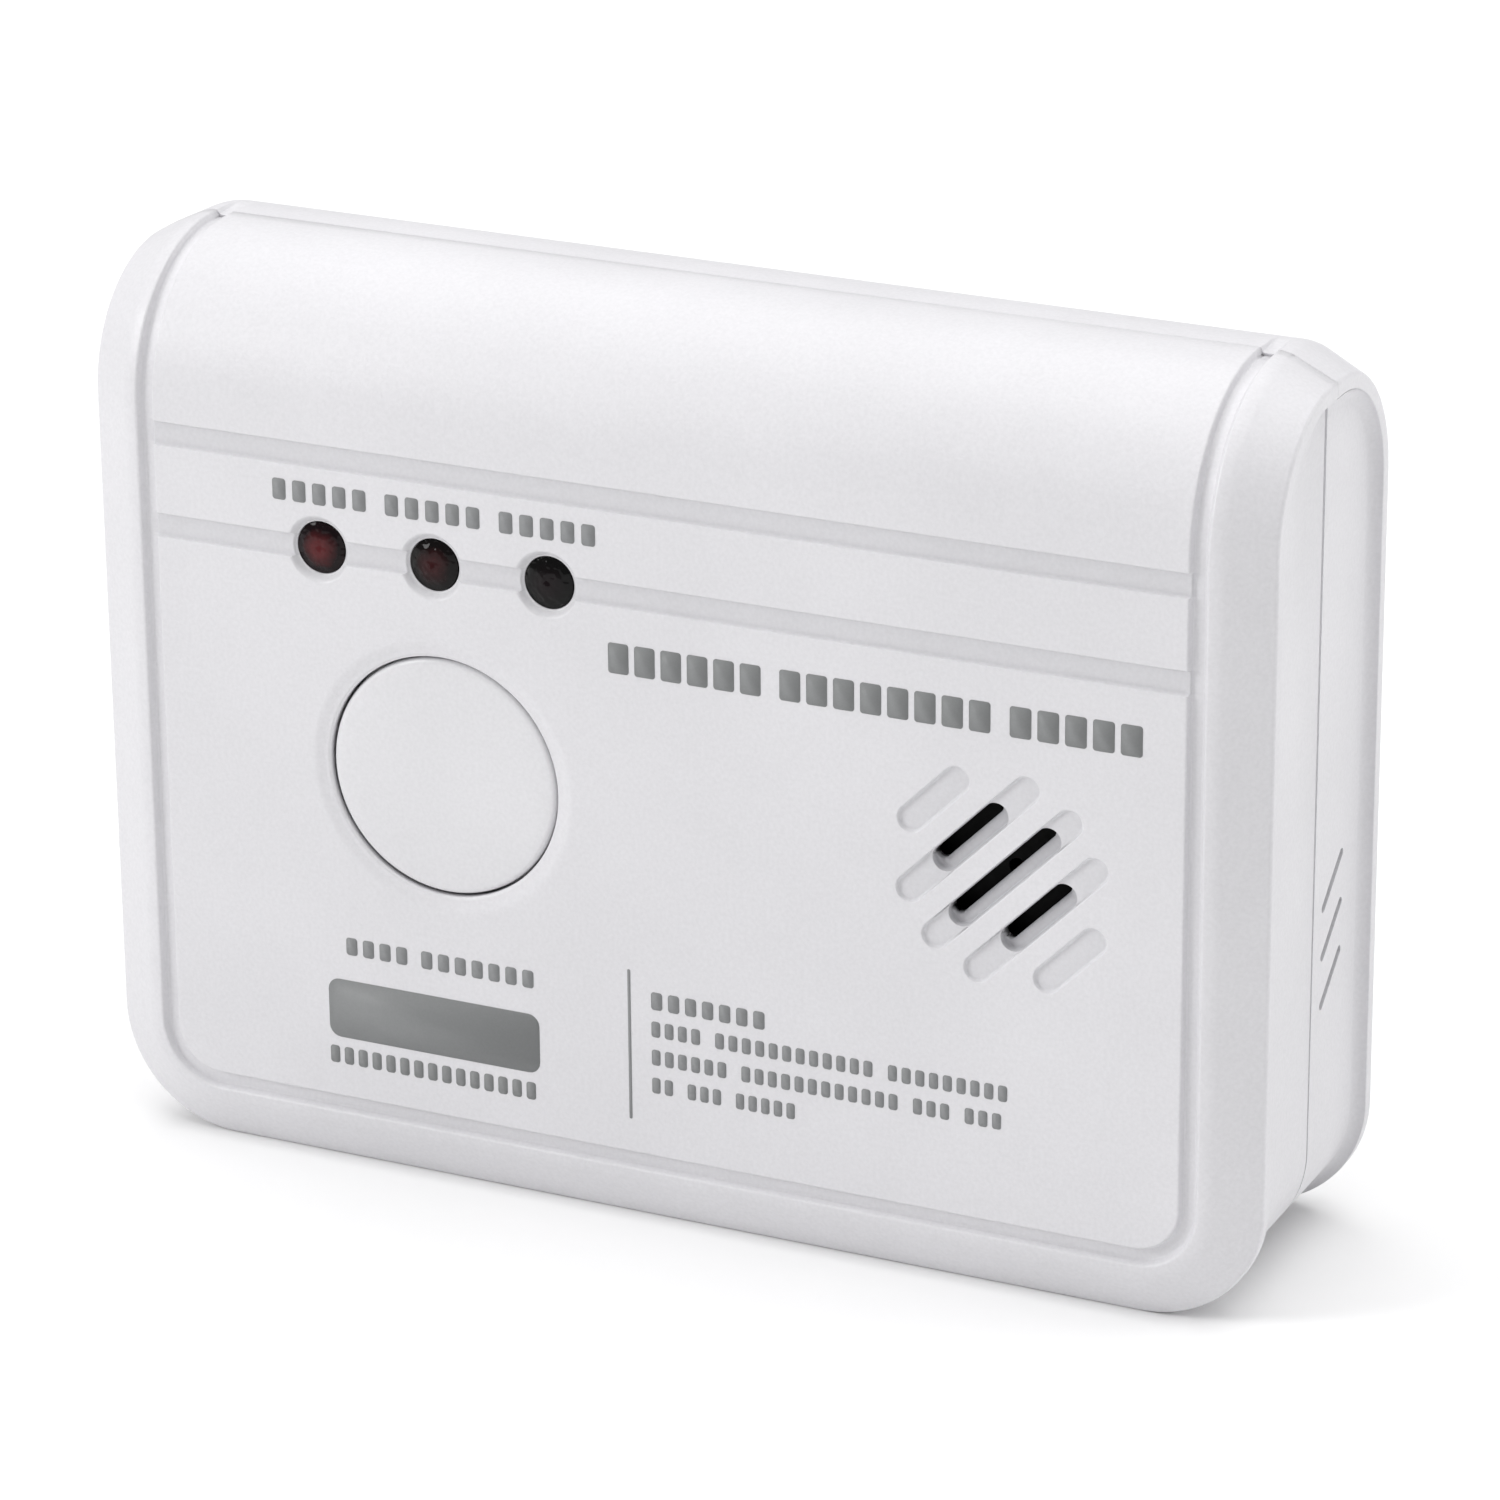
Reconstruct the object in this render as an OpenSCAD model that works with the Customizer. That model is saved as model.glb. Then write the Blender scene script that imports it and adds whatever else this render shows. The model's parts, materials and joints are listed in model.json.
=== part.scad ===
// Battery carbon monoxide detector for a wall or shelf.
// Axes: X is the width, the front looks along -Y, Z is up.
// The origin is at the middle of the case, at its bottom. Millimetres.

/* [Case] */
// Overall width
case_w = 120; // [108:1:150]
// Overall height
case_h = 90; // [84:1:110]
// Overall depth, front to back
case_d = 33; // [31.5:0.5:42]
// Radius of the front and rear top edges
arch_r = 15; // [11:0.5:15.5]
// Radius of the two lower corners
corner_r = 12; // [10:0.5:13]
// Thickness of the moulded walls
wall = 2.2; // [1.8:0.1:2.6]

/* [Rim] */
// Width of the sloping rim round the case
rim_w = 5.8; // [5:0.1:6.5]
// Slope of the rim away from the panel, degrees
rim_angle = 26; // [15:1:30]
// Radius where the rim turns out of the panel plane
rim_round = 4; // [2:0.5:5]
// Width of the narrow land at the rim's outer edge
rim_land = 1.2; // [0.8:0.1:2]
// How far the side walls step in from the rim
rim_recess = 1.2; // [0.6:0.1:1.6]
// Width of the channel between the rim and the panel
channel_w = 1.6; // [1:0.1:2.2]
// Depth of that channel
channel_depth = 0.9; // [0.6:0.1:1.6]
// Depth of the lap joint between the two shells
lap_h = 1.6; // [1:0.1:2.4]
// Depth at which the channel runs on into the rear shell
fade_depth = 0.5; // [0.3:0.1:1.2]
// Length over which it fades out there
fade_l = 5; // [3:0.5:7]
// Width of the gap along the side walls' seam, at its upper end
seam_gap_top = 0.6; // [0.4:0.1:1.8]
// Width of that gap lower down
seam_gap_low = 0.3; // [0.2:0.1:1]
// Depth of that gap
seam_gap_depth = 0.5; // [0.3:0.1:1]

/* [Front panel] */
// Height of the lower groove, which the lights sit on
led_groove_z = 63.55; // [58:0.05:66]
// Distance from the lower groove up to the upper groove
groove_gap = 9.2; // [8:0.1:10]
// Width of each groove
groove_w = 2.35; // [1.5:0.05:3]
// Depth of each groove
groove_depth = 0.45; // [0.2:0.05:0.8]

/* [Sounder grille] */
// Sideways place of the grille's centre
grille_x = 34.8; // [30:0.1:36]
// Height of the grille's centre
grille_z = 41.8; // [38:0.1:44]
// Radius of the circle that the grille fills
grille_r = 10.6; // [9:0.1:11.5]
// Distance between neighbouring grille recesses
grille_pitch = 4.8; // [4:0.1:5.5]
// Width of each grille recess
pill_w = 2.7; // [2:0.1:3]
// Depth of each grille recess
pill_depth = 0.4; // [0.2:0.05:0.6]
// Depth of the deeper pockets in the three middle recesses
pocket_depth = 1.3; // [0.8:0.1:1.5]
// Width of the open slot along one side of each pocket
slot_w = 1.3; // [0.8:0.1:1.6]

/* [Lights] */
// Diameter of a light's lens
led_d = 5; // [4:0.1:5.6]
// Distance between neighbouring lights
led_pitch = 12; // [10:0.5:14]
// Sideways place of the middle light
led_mid_x = -23.1; // [-26:0.1:-20]
// Height of a lens's crown
led_crown = 0.5; // [0.3:0.1:2]
// Diameter of the cone that leads down to each light
led_seat_d = 6.8; // [6.4:0.1:7.4]
// Depth of that cone
led_seat_depth = 0.7; // [0.5:0.1:1]
// How far the tip of a lens stays behind the panel
led_tip_back = 0.1; // [0:0.1:1]
// Height of the spacer under each light
led_spacer_h = 2.2; // [1:0.1:3]

/* [Test button] */
// Diameter of the button's face
button_d = 23.7; // [20:0.1:26]
// Gap round the button
button_gap = 0.45; // [0.3:0.05:0.6]
// Sideways place of the button
button_x = -22.6; // [-25:0.1:-21]
// Height of the button
button_z = 42.4; // [40:0.1:43]
// How far the button's face sits behind the panel
button_back = 0.35; // [0.1:0.05:0.8]
// Travel of the button
button_travel = 0.8; // [0.5:0.1:1]
// Diameter of the button's stem
stem_d = 5; // [4:0.5:7]

/* [Switch] */
// Side of the switch body
switch_w = 6.2; // [5:0.1:8]
// Height of the switch body
switch_h = 3.5; // [3:0.1:4]
// Diameter of the switch plunger
plunger_d = 3.4; // [3:0.1:4]
// How far the plunger stands out of the switch
plunger_out = 1.5; // [1.2:0.1:2]

/* [Circuit board] */
// Space between the board's ends and the side walls
board_side_gap = 3.1; // [2.6:0.1:6]
// Height of the board
board_h = 51.5; // [48:0.5:52]
// Thickness of the board
board_t = 1.6; // [1:0.1:2]
// Space between the panel's inside and the board
board_gap = 8.2; // [8:0.1:9]

/* [Battery compartment] */
// Diameter of a cell
cell_d = 14.3; // [13.5:0.1:14.5]
// Length of a cell with its nub
cell_l = 50.2; // [49:0.1:50.5]
// Distance between neighbouring cells
cell_pitch = 14.9; // [14.8:0.1:15.2]
// Sideways place of the compartment's centre
cell_x = -12; // [-14:0.5:-8]
// Thickness of the compartment's walls
bay_wall = 1.4; // [1:0.1:1.6]
// Thickness of the battery door
door_t = 2; // [1.6:0.1:2.2]
// Radius of the bead at the door's hinge edge
door_bead_r = 1.6; // [1.4:0.1:1.8]
// Gap round the battery door
door_gap = 0.35; // [0.25:0.05:0.5]
// Radius of the door's hinge stubs
stub_r = 0.75; // [0.6:0.05:0.9]
// Length of the door's hinge stubs
stub_l = 1.2; // [0.8:0.1:1.5]

/* [Wall mounting] */
// Distance between the two keyholes
key_span = 60; // [50:1:70]
// Diameter of a keyhole's round entry
key_d = 8.4; // [7.5:0.1:9]
// Width of a keyhole's slot
key_slot_w = 4.4; // [3.5:0.1:5]
// Distance from the entry up to the slot's end
key_rise = 5.5; // [5:0.1:6]

/* [Side vents] */
// Width of each vent slot
vent_w = 0.9; // [0.6:0.1:1.4]
// Length of each vent slot
vent_l = 6.8; // [5:0.1:8]
// Height between neighbouring vent slots
vent_pitch = 4.9; // [4:0.1:6]
// Height of the middle vent slot
vent_z = 32.8; // [28:0.1:40]

/* [Inside parts] */
// Diameter of the sensor cell
sensor_d = 20; // [16:0.5:20]
// Height of the sensor cell
sensor_h = 14; // [10:0.5:15]
// Diameter of the sounder chamber
sounder_d = 28; // [26:0.5:29]
// Diameter of the sounder disc
piezo_d = 26; // [20:0.5:26]
// Running clearance between parts that move
run_gap = 0.08; // [0.05:0.01:0.1]
// Clearance between parts that are assembled
fit_gap = 0.15; // [0.1:0.05:0.2]

/* [Hidden] */
$fn = 64;
// Overlap that makes joined solids merge and cuts break through
eps = 0.05;

// Half sizes and the main planes of the case
half_w = case_w / 2;
half_d = case_d / 2;
front_y = -half_d;
rear_y = half_d;
arch_y = half_d - arch_r;
arch_z = case_h - arch_r;
corner_x = half_w - corner_r;
// Rim profile: distance in from the edge, and drop behind the panel plane
rim_steps = 4;
rim_turn_w = rim_round * sin(rim_angle);
rim_drop = rim_round * (1 - cos(rim_angle)) + (rim_w - rim_turn_w) * tan(rim_angle);
rim = concat(
  [for (i = [0:rim_steps]) let (a = rim_angle * i / rim_steps)
    [rim_w - rim_round * sin(a), rim_round * (1 - cos(a))]],
  [[0, rim_drop]]
);
rim_back = [for (i = [len(rim) - 1:-1:0]) rim[i]];
panel_inset = rim_w + channel_w;
cavity_inset = rim_recess + wall;
inside_y = front_y + wall;
rear_inside_y = rear_y - wall;

// Lap joint: thickness of the tongue, and depth of the land behind it
lap_t = 1.2;
lap_land = 2;

// Circuit board: its planes, and how far it rises above the lights
board_over_lights = 3.4;
board_w = case_w - 2 * (cavity_inset + board_side_gap);
board_front_y = inside_y + board_gap;
board_rear_y = board_front_y + board_t;
board_top_z = led_groove_z + board_over_lights;
board_low_z = board_top_z - board_h;

// Clearance round a screw's thread, its shank and its head
thread_gap = 0.03;
shank_gap = 0.25;
head_gap = 0.3;
// Cross slot in a screw head: share of the head's radius, depth and half its width
cross_share = 0.62;
cross_depth = 0.7;
cross_half = 0.35;

// Screws that hold the two shells together
case_screw_r = 1.45;
case_head_r = 2.9;
case_head_h = 2.2;
case_boss_r = 3.6;
case_screw_in = 10.5;
case_screw_x = half_w - case_screw_in;
case_screw_top_z = board_top_z + case_boss_r + 0.5;
case_seat_y = 4;
case_screw_l = 13;
case_screw_at = [for (s = [-1, 1], z = [case_screw_in, case_screw_top_z]) [s * case_screw_x, z]];

// Screws that hold the board
board_screw_r = 1.1;
board_head_r = 2.2;
board_head_h = 1.6;
board_boss_r = 2.8;
board_screw_l = 7;
board_screw_in = 3.2;
board_screw_x = board_w / 2 - board_screw_in;
board_screw_z = [board_low_z + board_screw_in, board_top_z - board_screw_in];
board_screw_at = [for (s = [-1, 1], z = board_screw_z) [s * board_screw_x, z]];

// Lights, on the lower groove
led_x = [for (i = [-1:1]) led_mid_x + i * led_pitch];
led_hole_d = led_d + 0.3;
led_tip_y = front_y + led_tip_back;
led_flange_y = board_front_y - led_spacer_h;
led_flange_h = 1;
led_flange_r = led_d / 2 + 0.4;
led_lead_r = 0.25;
led_lead_span = 1.27;
led_lead_tail = 1.4;
led_lead_gap = 0.15;

// Test button
button_y = front_y + button_back;
button_hole_d = button_d + 2 * button_gap;
button_crown = 0.25;
button_lip_y = inside_y + 0.25;
button_lip_h = 1;
button_lip_r = button_hole_d / 2 + 0.9;
button_lip_gap = 0.3;
button_collar_t = 1.6;
button_edge = 1.2;
button_t = 1.4;
button_rib_half = 0.5;
dish_w = 1.6;
dish_depth = 0.35;
switch_top_y = board_front_y - switch_h;
plunger_y = switch_top_y - plunger_out;
stem_gap = 0.1;
plunger_foot = 1.2;
plunger_under = 0.2;

// Grille: recesses are chords of one circle, at 45 degrees
grille_rows = [-2:2];
pill_r = pill_w / 2;
// Half the distance between the two end centres of a recess
function pill_half(row) = sqrt(grille_r * grille_r - pow(row * grille_pitch, 2)) - pill_r;
// Pockets take this share of the middle recess and of its two neighbours
pocket_rows = [-1:1];
pocket_mid = 0.65;
pocket_next = 0.43;
function pocket_half(row) = row == 0 ? pill_half(0) * pocket_mid : pill_half(1) * pocket_next;

// Sounder behind the grille
gasket_t = 1.5;
gasket_w = 2;
sounder_y = inside_y + gasket_t;
sounder_floor = 1.2;
sounder_port_r = 0.8;
sounder_collar_t = 1.4;
sounder_collar_h = 1;
piezo_t = 0.3;
piezo_ledge = 0.8;
piezo_y = sounder_y + 3.6;
ceramic_d = piezo_d * 0.68;
ceramic_t = 0.25;
piezo_ring_w = 1.2;

// Battery compartment
cells = [0:2];
spring_room = 4.2;
plate_t = 0.4;
plate_back = 0.2;
// Space beside the cells, in front of them and between them and the door
cell_side_gap = 0.15;
cell_floor_gap = 0.3;
cell_door_gap = 0.4;
bay_l = cell_l + spring_room + 2 * (plate_t + plate_back);
bay_h = 3 * cell_pitch + 2 * cell_side_gap;
bay_low_z = 14.4;
bay_top_z = bay_low_z + bay_h;
bay_x0 = cell_x - bay_l / 2;
bay_x1 = cell_x + bay_l / 2;
door_in_y = rear_y - door_t;
cell_y = door_in_y - cell_door_gap - cell_d / 2;
bay_floor_y = cell_y - cell_d / 2 - cell_floor_gap;
function cell_z(i) = bay_low_z + cell_side_gap + cell_pitch * (i + 0.5);
spring_x0 = bay_x0 + plate_back + plate_t;
cell_x0 = spring_x0 + spring_room;
// Raised end of a cell, and the step at each of its edges
nub_l = 1;
nub_r = 2.75;
cell_step_l = 0.3;
cell_step_r = 0.5;
// Contact springs: a wire that winds in a cone from the plate to the cell
coil_turns = 3.5;
coil_steps = 16;
coil_r0 = 4.2;
coil_r1 = 2;
coil_wire_r = 0.4;
coil_sides = 8;
coil_n = coil_turns * coil_steps;
plate_w = 11;

// Battery door and its hinge
hinge_y = rear_y - door_bead_r;
hinge_drop = 0.8;
hinge_z = bay_low_z - bay_wall - hinge_drop - door_bead_r;
door_lap = 2.2;
door_x0 = bay_x0 - door_lap;
door_x1 = bay_x1 + door_lap;
door_rest = 0.2;
door_top_z = bay_top_z + bay_wall + door_rest;
bead_room = 0.4;
lug_w = stub_l + 1;
lug_over = 0.2;
lug_back = 0.3;
flange_w = 1.2;
flange_bond = 0.5;
tongue_w = 12;
tongue_l = 8;
tongue_slit = 0.8;
// Grip lines on the tongue, and the field for a blank label
grip_r = 0.5;
grip_in = 1.5;
grip_pitch = 1.8;
grip_rise = 0.2;
label_in = 8;
label_low = 9;
label_top = 12;
label_depth = 0.3;
// Finger notch above the door
nail_r = 9;
nail_depth = 1.2;
nail_rise = 2.2;

// Keyholes
key_over_door = 1.4;
key_z = door_top_z + door_gap + key_over_door + key_d / 2;

// Vents lean back, and lie at this share of the rear shell's depth
vent_angle = 41;
vent_y = half_d * 0.31;

// Sensor at the right, beside the vents
sensor_in = 20;
sensor_x = half_w - sensor_in;
sensor_z = vent_z;
sensor_lift = 1;
sensor_skirt = 3;
sensor_hole_r = 0.7;
sensor_cap_t = 0.5;
sensor_top_y = board_rear_y + sensor_h;
filter_d = sensor_d * 0.45;
filter_t = 1;
sensor_pin_r = 0.5;
sensor_pin_ring = 6;

// Small parts on the front of the board stand this far off it
part_gap = 0.1;
// Control chip, beside the button
chip_l = 10.3;
chip_h = 7.5;
chip_t = 2.3;
chip_x = 5;
chip_z = 34;
chip_mark_r = 0.5;
chip_mark_in = 1.2;
chip_leg_pitch = 1.27;
chip_leg_w = 0.4;
chip_leg_t = 0.25;
chip_leg_rise = 1.4;
chip_leg_out = 0.3;
chip_foot_out = 1.4;
// Row of resistors
resistor_n = 6;
resistor_r = 1.1;
resistor_l = 6;
resistor_x0 = -12;
resistor_pitch = 5;
resistor_z = board_low_z + 6;
resistor_wire_r = 0.3;
resistor_wire_l = 1.5;
// Flat-fronted transistor that drives the sounder
transistor_x = 14;
transistor_z = 57;
transistor_r = 2.4;
transistor_h = 5;
transistor_gap = 0.3;
transistor_flat = 1.4;

// Capacitors and inductor on the rear of the board, above the sensor
rear_part_z = board_top_z - 11;
capacitor_step = 9.5;
capacitor_x = [for (k = [1, 2]) bay_x1 + bay_wall + k * capacitor_step];
capacitor_r = 4;
capacitor_h = 11;
crimp_r = 0.6;
crimp_out = 0.2;
crimp_y = 2;
inductor_x = half_w - 13;
inductor_r = 4.5;
inductor_h = 9;
inductor_flange = 1.4;
inductor_core_r = 2.25;
winding_in = 0.5;

// Leads from the end contacts to the board, and their ways out of the compartment
lead_r = 0.65;
lead_bend = 2.5;
lead_out = 3;
lead_hole_half = 1.6;
lead_hole_d = 2.4;
lead_y = bay_floor_y + lead_hole_d / 2;

// Mirrored copy as well as the original, left and right
module both_sides() {
  children();
  mirror([1, 0, 0]) children();
}

// Extrudes an outline given in Y and Z from x0 to x1
module along_x(x0, x1) {
  translate([x0, 0, 0]) rotate([90, 0, 90]) linear_extrude(x1 - x0) children();
}

// Extrudes an outline given in X and Z from y0 to y1
module along_y(y0, y1) {
  translate([0, y1, 0]) rotate([90, 0, 0]) linear_extrude(y1 - y0) children();
}

// Round bar along Y
module rod_y(r, y0, y1, x = 0, z = 0) {
  translate([x, y1, z]) rotate([90, 0, 0]) cylinder(r = r, h = y1 - y0);
}

// Round bar along X
module rod_x(r, x0, x1, y = 0, z = 0) {
  translate([x0, y, z]) rotate([0, 90, 0]) cylinder(r = r, h = x1 - x0);
}

// Box from its lowest to its highest corner
module block(low, high) {
  translate(low) cube(high - low);
}

// Side outline of the case, in Y and Z, moved in by inset
module arch2d(inset, low = -1) {
  translate([front_y + inset, low]) square([case_d - 2 * inset, arch_z - low]);
  translate([-arch_y, low]) square([2 * arch_y, case_h - inset - low]);
  for (s = [-1, 1]) translate([s * arch_y, arch_z]) circle(r = arch_r - inset);
}

// Front outline of the case, in X and Z, moved in by inset
module face2d(inset, top = case_h + 1) {
  translate([-half_w + inset, corner_r]) square([case_w - 2 * inset, top - corner_r]);
  translate([-corner_x, inset]) square([2 * corner_x, top - inset]);
  for (s = [-1, 1]) translate([s * corner_x, corner_r]) circle(r = corner_r - inset);
}

// One rounded slot outline, half_len from its centre to each end centre
module pill2d(r, half_len) {
  translate([-half_len, -r]) square([2 * half_len, 2 * r]);
  for (s = [-1, 1]) translate([s * half_len, 0]) circle(r = r);
}

// Quarter turn of the rim over the front top edge
module arch_quarter() {
  translate([0, -arch_y, arch_z]) rotate([90, 0, -90]) rotate_extrude(angle = 90) polygon(concat(
    [[0, -half_w]],
    [for (p = rim_back) [arch_r - p[1], -(half_w - p[0])]],
    [for (p = rim) [arch_r - p[1], half_w - p[0]]],
    [[0, half_w]]
  ));
}

// Quarter turn of the rim round the lower right corner
module corner_quarter() {
  translate([corner_x, 0, corner_r]) rotate([90, 0, 0]) rotate([0, 0, -90])
    rotate_extrude(angle = 90) polygon(concat(
      [[0, -half_d]],
      [for (p = rim) [corner_r - p[0], -(half_d - p[1])]],
      [for (p = rim_back) [corner_r - p[0], half_d - p[1]]],
      [[0, half_d]]
    ));
}

// The whole outer shape with its sloping rim, before the walls step in
module case_outside() {
  translate([0, 0, corner_r]) linear_extrude(arch_z - corner_r) polygon(concat(
    [for (p = rim) [half_w - p[0], -(half_d - p[1])]],
    [for (p = rim_back) [half_w - p[0], half_d - p[1]]],
    [for (p = rim) [-(half_w - p[0]), half_d - p[1]]],
    [for (p = rim_back) [-(half_w - p[0]), -(half_d - p[1])]]
  ));
  along_y(-arch_y, arch_y) polygon(concat(
    [[-half_w, arch_z], [half_w, arch_z]],
    [for (p = rim_back) [half_w - p[0], case_h - p[1]]],
    [for (p = rim) [-(half_w - p[0]), case_h - p[1]]]
  ));
  arch_quarter();
  mirror([0, 1, 0]) arch_quarter();
  both_sides() corner_quarter();
  along_x(-corner_x, corner_x) polygon(concat(
    [for (p = rim) [half_d - p[1], p[0]]],
    [for (p = rim_back) [-(half_d - p[1]), p[0]]],
    [[front_y, corner_r], [half_d, corner_r]]
  ));
}

// Space that steps the side and bottom walls in between the two rims
module wall_step() {
  difference() {
    along_x(-half_w - 1, half_w + 1) arch2d(rim_drop + rim_land);
    along_y(front_y, rear_y) face2d(rim_recess);
  }
}

// Hollow inside the two shells
module cavity() {
  intersection() {
    along_x(-half_w, half_w) arch2d(wall, 0);
    along_y(front_y, rear_y) face2d(cavity_inset);
  }
}

// Half of the hollow case: side is -1 for the front shell, 1 for the rear
module shell_half(side) {
  difference() {
    case_outside();
    wall_step();
    cavity();
    translate([-half_w - 1, side > 0 ? -half_d - 1 : 0, -1]) cube([case_w + 2, half_d + 1, case_h + 2]);
  }
}

// Ring from the hollow's outline in by t, between y0 and y1
module cavity_ring(y0, y1, gap, t) {
  along_y(y0, y1) intersection() {
    difference() {
      face2d(cavity_inset + gap, case_h - wall - gap);
      face2d(cavity_inset + gap + t, case_h - wall - gap - t);
    }
    translate([-half_w, 0]) square([case_w, case_h]);
  }
}

// Channel round the panel, down the sides, round the corners and along the bottom
module channel_cut() {
  along_y(front_y - 1, front_y + channel_depth) difference() {
    face2d(rim_w, arch_z);
    face2d(panel_inset, arch_z + 1);
  }
  both_sides() {
    along_x(half_w - panel_inset, half_w - rim_w) translate([-arch_y, arch_z]) intersection() {
      difference() {
        circle(r = arch_r + 1);
        circle(r = arch_r - channel_depth);
      }
      translate([-case_d, 0]) square([case_d, case_d]);
    }
    block([half_w - panel_inset, -arch_y, case_h - channel_depth], [half_w - rim_w, 1, case_h + 1]);
  }
}

// Where the channel runs on over the rear shell's top edge and fades out
module channel_fade() {
  fade_z = case_h - arch_r + sqrt(arch_r * arch_r - pow(fade_l - arch_y, 2));
  both_sides() along_x(half_w - panel_inset, half_w - rim_w)
    polygon([[-eps, case_h - fade_depth], [fade_l, fade_z], [fade_l, case_h + 1], [-eps, case_h + 1]]);
}

// Gap in the rear shell's side and bottom walls along the seam, wider towards the top
module seam_gap_cut() {
  intersection() {
    along_x(-half_w - 1, half_w + 1) arch2d(rim_drop + rim_land);
    union() {
      along_y(-eps, seam_gap_low) difference() {
        face2d(0);
        face2d(rim_recess + seam_gap_depth);
      }
      both_sides() along_x(half_w - rim_recess - seam_gap_depth, half_w)
        polygon([[-eps, corner_r], [seam_gap_low, corner_r], [seam_gap_top, case_h], [-eps, case_h]]);
    }
  }
}

// The two level grooves across the panel
module groove_cut() {
  for (z = [led_groove_z, led_groove_z + groove_gap])
    block([-half_w + panel_inset - eps, front_y - 1, z - groove_w / 2],
          [half_w - panel_inset + eps, front_y + groove_depth, z + groove_w / 2]);
}

// Recesses, pockets and open slots of the sounder grille
module grille_cut() {
  translate([grille_x, 0, grille_z]) {
    for (row = grille_rows)
      along_y(front_y - 1, front_y + pill_depth)
        rotate(45) translate([0, -row * grille_pitch]) pill2d(pill_r, pill_half(row));
    for (row = pocket_rows) {
      along_y(front_y - 1, front_y + pocket_depth)
        rotate(45) translate([0, -row * grille_pitch]) pill2d(pill_r, pocket_half(row));
      along_y(front_y - 1, inside_y + 1)
        rotate(45) translate([0, -row * grille_pitch + pill_r - slot_w / 2])
          pill2d(slot_w / 2, pocket_half(row) + slot_w / 4);
    }
  }
}

module front_cover() {
  color([0.93, 0.93, 0.94]) difference() {
    union() {
      shell_half(-1);
      for (at = case_screw_at) rod_y(case_boss_r, inside_y - eps, -fit_gap, at[0], at[1]);
      for (at = board_screw_at) rod_y(board_boss_r, inside_y - eps, board_front_y, at[0], at[1]);
      // Collar that guides the button
      rod_y(button_lip_r + button_collar_t, inside_y - eps, button_lip_y + button_lip_h, button_x, button_z);
      // Collar that centres the sounder
      rod_y(sounder_d / 2 + sounder_collar_t, inside_y - eps, sounder_y + sounder_collar_h,
            grille_x, grille_z);
    }
    channel_cut();
    groove_cut();
    grille_cut();
    for (x = led_x) {
      rod_y(led_hole_d / 2, front_y - 1, inside_y + 1, x, led_groove_z);
      translate([x, front_y - eps, led_groove_z]) rotate([-90, 0, 0])
        cylinder(r1 = led_seat_d / 2, r2 = led_hole_d / 2, h = led_seat_depth + eps);
    }
    rod_y(button_hole_d / 2, front_y - 1, inside_y + 1, button_x, button_z);
    rod_y(button_lip_r + button_lip_gap, inside_y, 0, button_x, button_z);
    // Shallow dish round the button
    translate([button_x, front_y - eps, button_z]) rotate([-90, 0, 0])
      cylinder(r1 = button_hole_d / 2 + dish_w, r2 = button_hole_d / 2, h = dish_depth + eps);
    rod_y(sounder_d / 2 + fit_gap, inside_y, 0, grille_x, grille_z);
    for (at = case_screw_at)
      rod_y(case_screw_r + thread_gap, case_seat_y - case_screw_l - 1, 1, at[0], at[1]);
    for (at = board_screw_at)
      rod_y(board_screw_r + thread_gap, board_rear_y - board_screw_l - board_screw_r / 2,
            board_front_y + 1, at[0], at[1]);
  }
}

// Round opening and slot of a wall keyhole, in X and Z
module keyhole2d() {
  circle(r = key_d / 2);
  translate([-key_slot_w / 2, 0]) square([key_slot_w, key_rise]);
  translate([0, key_rise]) circle(r = key_slot_w / 2);
}

// Three slanted vent slots in a side wall, outlines in Y and Z
module vent2d() {
  for (i = [-1:1])
    translate([vent_y, vent_z + i * vent_pitch]) rotate(vent_angle)
      pill2d(vent_w / 2, (vent_l - vent_w) / 2);
}

// Walls of the battery compartment, open at the rear
module bay_box() {
  block([bay_x0 - bay_wall, bay_floor_y - bay_wall, bay_low_z - bay_wall],
        [bay_x1 + bay_wall, door_in_y - door_rest, bay_top_z + bay_wall]);
}

// Flange that joins the compartment to the rear wall round the door
module bay_flange() {
  block([door_x0 - door_gap - flange_w, rear_inside_y - bay_wall, bay_low_z - bay_wall],
        [door_x1 + door_gap + flange_w, rear_inside_y + flange_bond, door_top_z + door_gap + flange_w]);
}

// Plain block in which a hinge stub turns
module hinge_lug(x0, x1) {
  block([x0, hinge_y - door_bead_r, hinge_z - door_bead_r - lug_over],
        [x1, rear_y - lug_back, hinge_z + door_bead_r + lug_over]);
}

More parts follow.
